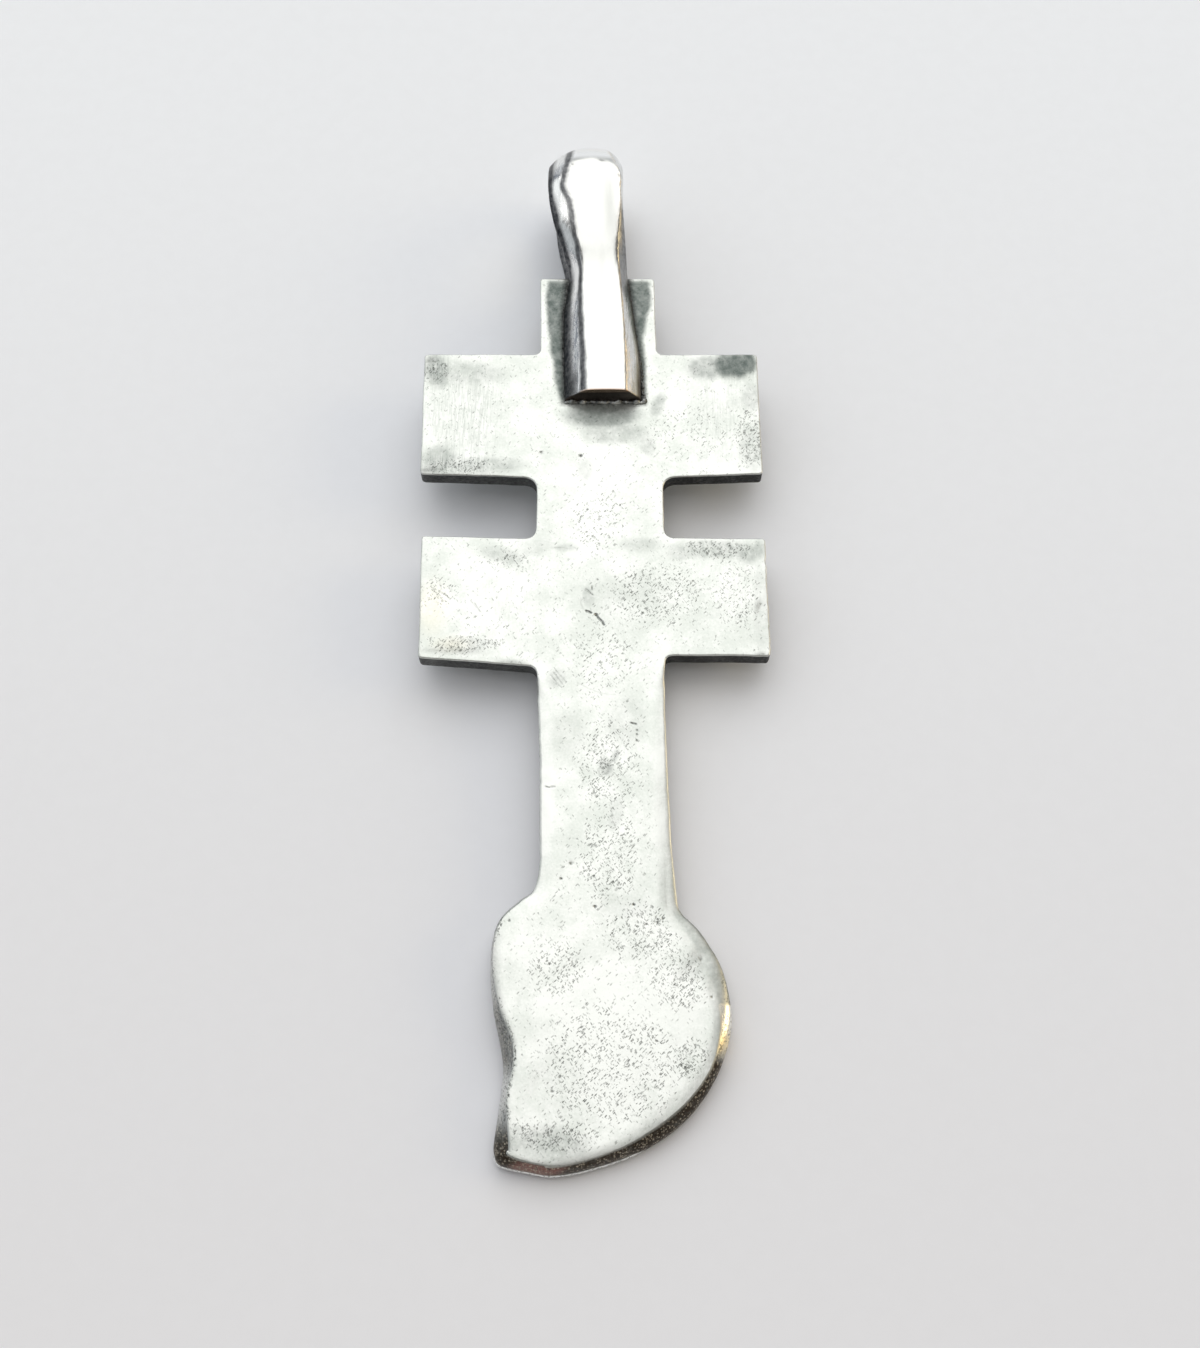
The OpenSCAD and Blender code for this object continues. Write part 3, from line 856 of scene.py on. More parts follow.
# stains on the back, with a painted shadow below the strap's end: u, v, half length, half width, angle,
# strength
stainAndShadowMarks = [
    (7.9, 20.6, 1.1, 1.15, 4, 0.88), (8.6, 20.6, 1.2, 1.2, 0, 0.92), (9.25, 20.8, 0.75, 1.1, 0, 0.92),
    (6.7, 20.4, 1.7, 1.1, 0, 0.45),
    (9.4, 18.4, 0.8, 1.3, 0, 0.2), (9.4, 14.8, 1.1, 1.9, 0, 0.2), (7.0, 8.0, 3.6, 0.8, 0, 0.26),
    (8.9, 7.65, 0.9, 0.75, 0, 0.34), (9.6, 8.0, 0.5, 0.8, 0, 0.3), (4.9, 7.75, 1.2, 0.6, 0, 0.16),
    (-10.2, 20.2, 1.0, 1.6, 15, 0.45), (-8.4, 20.1, 3.2, 1.1, -4, 0.2), (-9.9, 14.0, 1.5, 1.3, 35, 0.32),
    # the second and third marks on the next line are a painted shadow below the strap's end
    (-7.4, 13.55, 3.6, 0.8, 3, 0.24), (0.1, 17.1, 3.0, 1.15, 0, 0.66), (0.9, 15.9, 2.6, 1.0, 0, 0.26),
    (-0.9, 13.3, 0.6, 0.9, 0, 0.14), (3.6, 17.8, 0.5, 1.1, -20, 0.35), (2.9, 15.0, 0.6, 0.9, 10, 0.2),
    (-5.9, 7.6, 1.8, 0.7, -15, 0.17), (-2.0, 8.1, 1.0, 0.3, 0, 0.2), (-3.9, 8.1, 1.6, 0.7, 20, 0.1),
    (2.4, 8.3, 1.6, 0.6, 0, 0.16), (1.5, 5.0, 3.8, 2.6, 0, 0.06), (0.35, -5.7, 0.5, 0.75, 15, 0.3),
    (0.9, -5.0, 0.3, 0.7, -20, 0.22), (0.9, -8.6, 0.5, 1.4, -10, 0.12), (-0.7, 4.9, 0.5, 0.9, 10, 0.22),
    (-1.9, -3.6, 1.4, 1.8, 0, 0.08), (1.5, -3.0, 1.6, 2.2, 0, 0.1), (6.2, -16.9, 1.2, 2.2, -55, 0.2),
    (-2.6, -26.9, 2.8, 1.2, -4, 0.26), (-4.6, -26.7, 0.9, 1.1, 0, 0.2), (-2.6, -0.3, 0.9, 0.7, 45, 0.2),
    (-8.0, 1.9, 2.0, 0.6, 0, 0.2), (1.4, -13.9, 2.2, 0.9, 0, 0.06), (9.6, 4.0, 0.6, 3.6, 0, 0.12),
]
sootMarks = [
    (-10.7, 20.95, 0.5, 0.3, 50, 0.4), (-10.5, 13.35, 1.2, 0.3, 10, 0.45), (-9.0, 1.45, 3.4, 0.28, -2, 0.3),
    (-5.2, 0.75, 1.5, 0.25, -6, 0.35), (9.5, 1.3, 0.6, 0.2, 0, 0.4),
]
speckleMarks = [
    (0.5, -22.6, 6.2, 5.4, 0, 0.81), (-2.5, -26.4, 3.8, 1.4, -5, 0.96), (4.9, -22.4, 1.6, 1.7, 0, 1.1),
    (2.4, -15.4, 3.4, 2.8, 0, 0.9), (4.4, -18.0, 2.8, 2.6, -50, 0.9), (-2.4, -17.4, 2.6, 2.4, 0, 0.85),
    (0.5, -11.0, 2.9, 4.4, 0, 0.84), (0.5, -5.6, 2.9, 4.8, 0, 0.8), (0.2, 1.0, 3.4, 3.4, 0, 0.7),
    (3.4, 5.0, 4.6, 3.2, 0, 0.82), (8.2, 5.0, 2.4, 3.6, 0, 0.72), (0.0, 9.8, 3.2, 3.4, 0, 0.72),
    (-6.0, 3.2, 4.6, 2.6, 0, 0.5), (9.2, 15.6, 1.4, 3.0, 0, 0.95), (5.5, 16.0, 4.0, 3.4, 0, 0.62),
    (-10.2, 20.2, 1.4, 1.4, 0, 0.9), (-8.6, 13.6, 3.2, 0.9, 0, 0.95), (-8.0, 1.9, 3.6, 0.9, 0, 1.0),
    (-5.6, 7.4, 2.8, 1.1, -12, 0.8), (7.0, 8.0, 3.4, 0.9, 0, 0.95), (-9.6, 5.2, 1.6, 1.6, 0, 0.75),
]
brushMarks = [
    (-8.4, 17.2, 4.2, 5.2, 0, 0.55), (-10.2, 20.4, 1.6, 1.6, 0, 0.9), (-9.0, 13.8, 3.4, 1.3, 0, 0.9),
    (7.6, 17.0, 3.6, 5.0, 0, 0.3), (8.6, 20.2, 2.2, 1.4, 0, 0.5), (8.4, 5.2, 3.0, 4.6, 0, 0.2),
    (-5.6, 4.6, 4.0, 4.0, 0, 0.15),
]
# brighter patches of polish; the last two are painted highlights along the lower stem's side slopes
polishAndHighlightMarks = [
    (-7.2, 4.6, 4.6, 3.6, 0, 0.5), (0.3, 11.5, 4.6, 5.5, 0, 0.35), (0.4, -21.0, 8.0, 9.5, 0, 0.75),
    (-3.2, -6.8, 6.5, 0.8, 90, 1.0), (3.5, -6.0, 6.5, 0.7, 88, 0.5),
]
goldMarks = [(-10.0, 4.2, 1.5, 2.6, 0, 0.16), (-8.8, 1.9, 1.8, 0.8, 0, 0.14)]
# painted pink reflection on the foot's lower rim
pinkReflectionMarks = [(-3.4, -28.1, 1.9, 0.6, 3, 1.0)]

# how far the heat stain, with the bail's painted shade and reflection, reaches out of the strap's seam: v
# up the stem, and millimetres
heatStainAndShadeBand = {
    "left": ([18.2, 18.7, 19.55, 20.95, 23.1, 25.3, 26.8], [0.3, 0.38, 0.6, 0.68, 1.0, 1.2, 1.25]),
    "right": ([18.2, 22.4, 23.6, 24.6, 25.6, 26.8], [0.3, 0.36, 0.7, 1.15, 1.35, 1.3]),
}

# how sooty the edge is down each side: v from the foot's end up, and the share
rimGrime = {
    "right": ([-29, -22.6, -21.9, -20.2, -14.5, -13.2, -0.4, 0.5],
              [0.97, 0.97, 0.3, 0.12, 0.12, 0.3, 0.3, 0.97]),
    "left": ([-28.6, -26.9, -26.2, -24.9, -23.6, -22.9, -22.4, -19.7, -18.7, -15.5, -13.5],
             [0.97, 0.93, 0.7, 0.4, 0.3, 0.6, 0.78, 0.72, 0.5, 0.5, 0.9]),
}


# the strap's soldered end as the stain and painted shade follow it
strapEnd = {
    "v": [18.05, 20.8, 24.2, 26.8],
    "half": [2.4, 2.4, 2.2, 1.95],
    "middle": [0.2, 0.12, -0.12, -0.14],
}

# stretches of v with their own finish, painted facet shade and painted glint: from, to, and how softly each
# end fades
stretches = {
    "smoothed": (-27.2, 0.5, 1.5, 1.5),
    "etched": (-26.5, -13.8, 1.0, 1.2),
    "paintedFacetShade": (-19.45, -13.6, 0.2, 0.8),
    "glint": (-22.6, -19.3, 1.2, 0.15),
    "glintCore": (-21.4, -19.3, 0.9, 0.15),
}


def sideValue(u, v, table):
    # a table's value at v, for the right side or the left
    return np.where(u > 0, np.interp(v, *table["right"]), np.interp(v, *table["left"]))


def besideStrap(uv):
    # distance out of the strap's soldered end, in millimetres
    u, v = uv.T
    half = np.interp(v, strapEnd["v"], strapEnd["half"])
    middle = np.interp(v, strapEnd["v"], strapEnd["middle"])
    return np.maximum(np.abs(u - middle) - half, strapEnd["v"][0] - v)


def paintPlate(mesh, uv, share, facet, far):
    # masks for the finish: share is the depth as a share of the thickness, facet the share where the
    # slope ends, and far how far inside the outline a point of the back lies
    u, v = uv.T
    points = flatPoints(uv)
    right, onFoot = u > 0, ease((-12.5 - v) / 2)
    reach = {name: between(v, *ends) for name, ends in stretches.items()}
    # the dark walls begin where the slope ends
    wallStart = np.where(facet < 0.29, facet, plate["backEdge"] + 0.015 - 0.04 * onFoot * (u < -3))
    wall = ease((share - wallStart) / 0.03)
    onSlope = ease((share - 0.05) / 0.02)
    grime = sideValue(u, v, rimGrime)
    lowerLipHighlight = ease(2 - np.abs(share - 0.72) / 0.055) * ease((plate["lipStart"] - v) / 0.5)
    etched = (u < -3) * reach["etched"]
    # painted shade on the right foot's sloped facet
    paintedFacetShade = onSlope * (1 - wall) * right * reach["paintedFacetShade"]
    # painted glint on the right rim's slope, gold with a bright core
    glint, glintCoreHighlight = (onSlope * right * reach[name] for name in ("glint", "glintCore"))
    # speckle: less where the sides are rubbed smooth, more in the etched rim
    smoothed = ease(1 - (far - 0.6) / 0.5) * reach["smoothed"]
    speckle = np.maximum(spots(uv, speckleMarks, 0.6), 0.42) * (1 - 0.75 * smoothed)
    speckle = np.maximum(speckle, 1.3 * etched * ease(1.1 - far / 0.4) * (1 - wall))
    dotted = paintedFacetShade * ease((-16.6 - v) / 1.5) * ease((share - 0.1) / 0.06)
    speckle = np.maximum(speckle, 1.1 * dotted)
    # beside the strap the heat left grey-green bands, which also carry the bail's painted shade and
    # reflection, with painted shade at the seam
    seam = besideStrap(uv)
    ragged = 0.12 * waves(points, 0.9, 4.4)
    band = ease(0.5 + (sideValue(u, v, heatStainAndShadeBand) + ragged - seam) / 0.3) * ease((v - 17.6) / 0.8)
    tarnishAndShade = np.maximum(spots(uv, stainAndShadowMarks, 0.55), (0.9 + 0.06 * waves(points, 0.7, 2.9)) * band)
    # rubbed bright again along the back's edges
    rubbed = ease(1 - far / 0.4) * (1 - wall)
    tarnishAndShade *= 1 - 0.8 * rubbed * ease((v - 21.6) / 0.4)
    # painted shade on the right foot's facet, in the tarnish mask
    tarnishAndShade = np.maximum(tarnishAndShade, 0.3 * paintedFacetShade)
    sootAndShade = np.maximum(spots(uv, sootMarks), 0.8 * nickLines(uv)[1])
    # painted shade in the seam at the strap's foot
    sootAndShade = np.maximum(sootAndShade, 0.8 * ease(1 - seam / 0.4) * ease((v - 16.8) / 1.2))
    walls = wall * grime * (1 + 0.06 * waves(points, 0.9, 6.1))
    sootAndShade = np.maximum(sootAndShade, walls * (1 - 0.9 * lowerLipHighlight))
    sootAndShade *= 1 - 0.75 * ease((share - 0.97) / 0.03)
    # painted highlights on the lower lip, the glint's core on the right rim and the back's edges, which are
    # also worn; bare metal rubbed bright on the etched rim
    backEdge = ease(1 - np.abs(share - 0.03) / 0.03) * (share > 0.004) * ease((v - 0.2) / 0.8)
    edgeShine = 0.7 * backEdge * (0.6 + 0.5 * waves(points, 1.3, 9.2))
    rimShine = 0.9 * etched * wall * (1 - grime)
    wearAndHighlight = np.maximum.reduce([0.9 * lowerLipHighlight * wall, 0.85 * glintCoreHighlight, edgeShine, rimShine])
    giveMasks(mesh, {
        "rim": wall * onFoot,
        "polishAndHighlight": spots(uv, polishAndHighlightMarks),
        "pinkReflection": wall * spots(uv, pinkReflectionMarks, 0.4),
        "speckle": np.maximum(speckle * (1 - wall), 0.95 * wall * onFoot),
        "tarnishAndShade": np.clip(tarnishAndShade, 0, 1),
        "sootAndShade": np.clip(sootAndShade * (1 - 0.95 * glint), 0, 1),
        "brushed": spots(uv, brushMarks) * (1 - wall),
        "goldTintAndGlint": np.maximum(spots(uv, goldMarks), 0.9 * glint),
        "wearAndHighlight": np.clip(wearAndHighlight, 0, 1),
    })


strap = {
    "thickness": 1.2,
    "rise": 1.5,
    "sink": 0.25,
    "side": 0.4,
    "crownSide": 0.12,
    "loopMid": -0.7,
    "loopGap": 4.9,
    "loopTop": 35.02,
    "loopRise": 2.75,
    "loopBend": 0.36,
    "steps": 14,
    "bevelSteps": 20,
    "faceSteps": 16,
    "rounding": 2,
    "hammering": 0.05,
    "hammerSize": 1.5,
    "seed": 4,
    "waist": (24.4, 31.5, 1.2, 1.5),  # from, to, and how softly its painted shade fades at each end
    "uprightTo": 32.4,  # up to here the thickness counts straight out of the back
    "uprightFade": 2.5,
}

# how dark the flanks are painted, as reflection and shade, by the height up them, 1 being the top face
flankPaintedShade = {
    "left": ([0, 0.22, 0.36, 0.48, 0.56, 0.74, 0.82, 0.96, 1],
             [0.97, 0.95, 0.8, 0.35, 0, 0, 0.85, 0.85, 0.2]),
    "end": ([0, 0.4, 0.62, 0.72], [0.96, 0.85, 0.6, 0]),
    "loopLeft": ([0, 0.22, 0.36, 0.46, 0.72, 0.8, 0.94, 1], [0.95, 0.93, 0.3, 0, 0.05, 0.8, 0.85, 0.2]),
    "right": ([0, 0.16, 0.32, 0.9, 1], [0.8, 0.6, 0.14, 0.2, 0]),
    "waist": ([0, 0.5, 0.94, 1], [0.8, 0.72, 0.68, 0.2]),
}

# painted dark reflections round the crown's face, and greyer streaks down the face: u, v, half length, half
# width, angle, strength
crownDarkReflections = [
    (0.1, 33.95, 0.3, 0.17, -10, 0.75), (1.2, 32.75, 0.13, 0.26, 0, 0.6),
    (-1.85, 33.6, 0.3, 0.12, 50, 0.75),
]
greyFaceStreaks = [
    (0.6, 30.6, 3.2, 0.6, 92, 1.0), (0.1, 26.5, 2.4, 0.35, 88, 0.35), (-0.7, 20.5, 1.6, 0.3, 90, 0.3),
]


def strapRows():
    # the inner face from the foot on the back, round the loop, to the tongue on the front:
    # v, w, middle, width, middle of the outer face, its width, thickness, swell and height of the sides
    mid, top, t = strap["loopMid"], strap["loopTop"], strap["thickness"]
    back, front = mid + strap["loopGap"] / 2, mid - strap["loopGap"] / 2
    bend, thick = strap["loopBend"] * strap["loopGap"], strap["rise"] + strap["sink"]
    face, side, low = -plate["armThickness"], strap["side"], strap["crownSide"]
    rise = strap["loopRise"]
    return [
        (18.05, -strap["sink"], 0.2, 4.8, 0.35, 2.4, thick, 0.08, side),
        (20.8, -strap["sink"], 0.12, 4.8, 0.3, 2.44, thick, 0.09, side),
        (24.2, -strap["sink"], -0.1, 4.4, 0.14, 2.48, thick + 0.02, 0.08, side),
        (plate["stemTop"] - 0.2, -0.1, -0.1, 3.75, 0.03, 2.34, strap["rise"] + 0.28, 0.06, side),
        (28.1, back - 0.9, -0.34, 4.0, -0.12, 2.44, 2.1 - back + 0.9, 0.07, side),
        (29.5, back - 0.25, -0.66, 4.4, -0.2, 2.76, rise - 0.3 - back + 0.25, 0.08, side),
        (30.8, back, -0.85, 4.62, -0.2, 2.96, rise - 0.09 - back, 0.08, side),
        (31.9, back + 0.02, -0.92, 4.74, -0.5, 3.5, rise - 0.02 - back, 0.08, side),
        (top - 2.1, back, -0.93, 4.8, -0.42, 3.3, rise - back + 0.02, 0.1, 0.8 * side),
        (top - 0.6, mid + bend, -0.93, 4.7, -0.6, 2.1, t, 0.15, low),
        (top, mid, -0.95, 4.3, -0.85, 1.2, t, 0.22, low),
        (top - 0.6, mid - bend, -0.9, 4.3, -0.9, 1.9, t, 0.12, low),
        (top - 2.1, front, -0.85, 4.2, -0.85, 2.5, t, 0.04, side),
        (31.2, front, -0.75, 4.0, -0.75, 2.5, t, 0.02, side),
        (29.5, front + 0.25, -0.5, 3.8, -0.5, 2.5, t, 0.03, side),
        (28.1, front + 0.9, -0.35, 3.7, -0.35, 2.4, t, 0.05, side),
        (plate["stemTop"], face - 0.05, -0.2, 3.8, -0.2, 2.4, t, 0.05, side),
        (25.4, face + strap["sink"], -0.15, 4, -0.15, 2.5, t, 0.05, side),
        (23.6, face + strap["sink"], -0.15, 4, -0.15, 2.5, t, 0.05, side),
    ]


def strapSection():
    # shares of the station's sizes at each point round the section, with the corners rounded:
    # outer middle, inner half width, outer half width, swell across, side, thickness, swell out
    def flank(sign, shares):
        bulge, rest = 2.8 * shares * (1 - shares), 1 - shares
        return np.column_stack([shares, sign * rest, sign * shares, sign * bulge, rest, shares, bulge])

    def run(a, b, steps):
        a, b = np.array(a, float), np.array(b, float)
        return a + (b - a) * np.arange(steps)[:, None] / steps

    up = np.arange(strap["bevelSteps"]) / strap["bevelSteps"]
    face = 1 - 2 * np.arange(strap["faceSteps"]) / strap["faceSteps"]
    zero, one = np.zeros(len(face)), np.ones(len(face))
    points = np.vstack([
        run([0, -1, 0, 0, 0, 0, 0], [0, 1, 0, 0, 0, 0, 0], 10),
        run([0, 1, 0, 0, 0, 0, 0], [0, 1, 0, 0, 1, 0, 0], 3),
        flank(1, up),
        np.column_stack([one, zero, face, zero, zero, one, 0.8 * (1 - face ** 2)]),
        flank(-1, 1 - up),
        run([0, -1, 0, 0, 1, 0, 0], [0, -1, 0, 0, 0, 0, 0], 3),
    ])
    for _ in range(strap["rounding"]):
        points = 0.5 * points + 0.25 * (np.roll(points, 1, 0) + np.roll(points, -1, 0))
    return points


def lineObject(name, points, closed, numbers):
    # a bare line of points that carries numbers and vectors for Geometry Nodes
    n = len(points)
    mesh = bpy.data.meshes.new(name)
    edges = [(i, i + 1) for i in range(n - 1)] + ([(n - 1, 0)] if closed else [])
    mesh.from_pydata([tuple(p) for p in points], edges, [])
    giveMasks(mesh, numbers)
    return placeObject(name, mesh)


def geometryTree(name, sockets):
    # a tree of geometry in and out, with the given inputs and the material
    tree = bpy.data.node_groups.new(name, "GeometryNodeTree")
    for label, kind in {"Geometry": "Geometry", **sockets, "Material": "Material"}.items():
        tree.interface.new_socket(label, in_out="INPUT", socket_type="NodeSocket" + kind)
    tree.interface.new_socket("Geometry", in_out="OUTPUT", socket_type="NodeSocketGeometry")
    return tree, newNode(tree, "NodeGroupInput").outputs, newNode(tree, "NodeGroupOutput").inputs


def bakeModifier(source, tree, values):
    # sets the inputs by identifier, evaluates, and gives the result as a plain mesh
    modifier = source.modifiers.new(tree.name, "NODES")
    modifier.node_group = tree
    for socket in tree.interface.items_tree:
        if socket.in_out == "INPUT" and socket.name in values:
            modifier[socket.identifier] = values[socket.name]
    graph = bpy.context.evaluated_depsgraph_get()
    mesh = bpy.data.meshes.new_from_object(source.evaluated_get(graph))
    source.modifiers.remove(modifier)
    return mesh


def endTree(tree, out, geometry, material):
    realize = newNode(tree, "GeometryNodeRealizeInstances", {0: geometry}).outputs[0]
    finish = newNode(tree, "GeometryNodeSetMaterial", {"Geometry": realize, "Material": material})
    feed(tree, out["Geometry"], finish.outputs[0])


def named(tree, name, kind="FLOAT"):
    node = newNode(tree, "GeometryNodeInputNamedAttribute", {"Name": name}, data_type=kind)
    return node.outputs["Attribute"]


def curveFrom(tree, mesh):
    return newNode(tree, "GeometryNodeMeshToCurve", {"Mesh": mesh}).outputs[0]


def strapTree():
    # sweeps the section along the stations, and places each point by its shares of the station's sizes
    tree, given, out = geometryTree("strapForm", {
        "Section": "Object", "Hammering": "Float", "Hammer Size": "Float", "Seed": "Float",
    })
    section = newNode(tree, "GeometryNodeObjectInfo", {"Object": given["Section"]}).outputs["Geometry"]
    sweep = newNode(tree, "GeometryNodeCurveToMesh", {
        "Curve": curveFrom(tree, given["Geometry"]),
        "Profile Curve": curveFrom(tree, section),
        "Fill Caps": True,
    }).outputs[0]

    def product(size, share):
        return times(tree, named(tree, size), named(tree, share))

    innerMid = named(tree, "innerMid")
    shift = times(tree, minus(tree, named(tree, "outerMid"), innerMid), named(tree, "toOuter"))
    across = plus(tree, innerMid, shift, product("innerHalf", "byInner"), product("outerHalf", "byOuter"),
                  product("swell", "bySwell"))
    outward = plus(tree, product("sideHeight", "bySide"), product("thick", "byThick"),
                   product("swell", "bySwellOut"))
    # hammer marks: slow waves on the outer face only
    spot = joinVector(tree, across, named(tree, "length"), given["Seed"])
    marks = noiseNode(tree, spot, mathNode(tree, "DIVIDE", 1.0, given["Hammer Size"]), 1.0)
    wave = times(tree, minus(tree, marks, 0.5), given["Hammering"])
    outward = plus(tree, outward, times(tree, wave, named(tree, "byThick")))
    lift = vectorNode(tree, "SCALE", named(tree, "outDirection", "FLOAT_VECTOR"), outward)
    place = vectorNode(tree, "ADD", lift, joinVector(tree, across))
    place = vectorNode(tree, "ADD", place, named(tree, "station", "FLOAT_VECTOR"))
    moved = newNode(tree, "GeometryNodeSetPosition", {"Geometry": sweep, "Position": place})
    endTree(tree, out, moved.outputs[0], given["Material"])
    return tree


def buildStrap(material):
    rows = smoothRows(strapRows(), strap["steps"])
    path = rows[:, :2]
    along = np.vstack([path[1] - path[0], path[2:] - path[:-2], path[-1] - path[-2]])
    out = unit(np.column_stack([np.zeros(len(rows)), -along[:, 1], along[:, 0]]))
    upright = ease((strap["uprightTo"] - path[:, 0]) / strap["uprightFade"]) * (path[:, 1] > -0.4)
    upright = upright[:, None]
    out = unit(out * (1 - upright) + np.array([0, 0, 1]) * upright)
    station = np.column_stack([np.zeros(len(rows)), path])
    length = np.concatenate([[0], np.cumsum(np.linalg.norm(np.diff(path, axis=0), axis=1))])
    rail = lineObject("strapStations", station, False, {
        "innerMid": rows[:, 2], "innerHalf": rows[:, 3] / 2,
        "outerMid": rows[:, 4], "outerHalf": rows[:, 5] / 2,
        "thick": rows[:, 6], "swell": rows[:, 7], "sideHeight": rows[:, 8],
        "length": length, "station": station, "outDirection": out,
    })
    section = strapSection()
    keys = ["toOuter", "byInner", "byOuter", "bySwell", "bySide", "byThick", "bySwellOut"]
    flat = np.column_stack([section[:, 1] + section[:, 2], section[:, 5], np.zeros(len(section))])
    ring = lineObject("strapSection", flat, True, {key: section[:, i] for i, key in enumerate(keys)})
    mesh = bakeModifier(rail, strapTree(), {
        "Section": ring, "Hammering": strap["hammering"], "Hammer Size": strap["hammerSize"],
        "Seed": float(strap["seed"]), "Material": material,
    })
    for line in (rail, ring):
        bpy.data.objects.remove(line)
    points = np.array([v.co for v in mesh.vertices])
    across = readMask(mesh, "byInner") + readMask(mesh, "byOuter")
    paintStrap(mesh, points, across, readMask(mesh, "byThick"), readMask(mesh, "bySide"))
    kept = ("position", "sootAndShade", "goldTintAndGlint", "scorch", "side", "face")
    for name in [a.name for a in mesh.attributes if a.domain == "POINT" and not a.is_internal]:
        if name not in kept:
            mesh.attributes.remove(mesh.attributes[name])
    return finishPiece("strapBail", mesh, material, 40)


def paintStrap(mesh, points, across, height, side):
    # height runs from 0 at the side's foot to 1 on the outer face; across is negative on the left
    flat, v, w = points[:, :2], points[:, 1], points[:, 2]
    left, right = across < 0, across > 0
    inner = ease((0.02 - height) / 0.02) * ease((0.9 - side) / 0.3)
    onBevel = (height > 0.001) * ease((0.998 - height) / 0.03)
    onPlate = ease((27.0 - v) / 0.8) * (w > -0.6)
    nearEnd = ease((20.6 - v) / 1.6) * onPlate
    backLimb = w > -0.9
    # painted reflection and shade by the height up the flanks, on the plate and round the loop, with a
    # painted dark line below the face and painted shade inside the loop
    level = np.clip(height + 0.05 * waves(points, 0.7, 3.3), 0, 1)
    shade = {name: np.interp(level, *table) for name, table in flankPaintedShade.items()}
    onLoop = ease((v - 26.0) / 1.2)
    atWaist = between(v, *strap["waist"])
    leftShade = shade["left"] * (1 - onLoop) + shade["loopLeft"] * onLoop
    leftShade = np.maximum(leftShade, nearEnd * shade["end"])
    rightShade = shade["right"] * (1 - atWaist) + shade["waist"] * atWaist
    widening = ease(2 - np.abs(v - 32.4) / 0.75) * left * backLimb
    crownLine = ease(2 - 2 * np.abs(height - 0.9) / 0.16) * widening
    # painted dark reflections round the crown
    crownReflection = spots(flat, crownDarkReflections) * backLimb
    flank = np.maximum(np.where(left, leftShade, rightShade), 0.86 * crownLine) * onBevel * backLimb
    sootAndShade = np.maximum.reduce([flank, 0.92 * inner * (v > 26.5), crownReflection])
    # painted shade: the limb behind, which lies in shadow under the loop, is darkened
    sootAndShade = np.maximum(sootAndShade, 0.8 * (w < -1.3) * ease((35.6 - v) / 0.8))
    end = ease((18.12 - v) / 0.05) * (w > -0.3)
    # painted glints: the end's gold corner and a gold line along the right face's edge
    cornerGlint = end * ease((across - 0.82) / 0.08) * ease((1.25 - w) / 0.2)
    edgeHighlight = right * ease(1 - np.abs(height - 0.96) / 0.04) * backLimb
    brown = right * onPlate * ease((0.42 - height) / 0.2) * onBevel
    # a painted highlight across the burnt end
    endHighlight = ease(1.6 - np.abs(w - 1.0) / 0.13) * ease((np.abs(across) - 0.15) / 0.3)
    onFace = ease((height - 0.97) / 0.02) * ease((34.4 - v) / 0.3) * (w > 0)
    goldTintAndGlint = np.maximum.reduce([0.9 * cornerGlint, 0.35 * edgeHighlight, 0.45 * brown])
    scorch = np.maximum(end * (1 - cornerGlint) * (1 - 0.4 * endHighlight), 0.75 * brown * nearEnd)
    giveMasks(mesh, {
        "sootAndShade": np.clip(sootAndShade * (1 - end) + 0.95 * end * ease((0.78 - w) / 0.15), 0, 1),
        "face": onFace * (0.76 + 0.24 * spots(flat, greyFaceStreaks)),
        "goldTintAndGlint": np.clip(goldTintAndGlint, 0, 1),
        "scorch": np.clip(scorch, 0, 1),
        "side": onBevel * (1 - end),
    })


solder = {
    "spacing": 0.045,
    "radius": 0.085,
    "lump": 0.17,
    "jitter": 0.07,
    "voxel": 0.045,
    "seed": 11,
    "v": [18.05, 20.8, 24.2, 26.6],  # stations up the back, with the strap's middle and half width
    "middle": [0.33, 0.12, -0.12, -0.12],
    "half": [2.43, 2.38, 2.17, 1.88],
    "backEnd": 18.02,
    "frontEnd": 23.55,
    "frontMiddle": -0.15,
    "frontHalf": 1.96,
    "heaps": [(-2.1, 18.3, 0.9, 0.9, 0, 1.0)],  # more solder here: u, v, half sizes, angle, strength
}


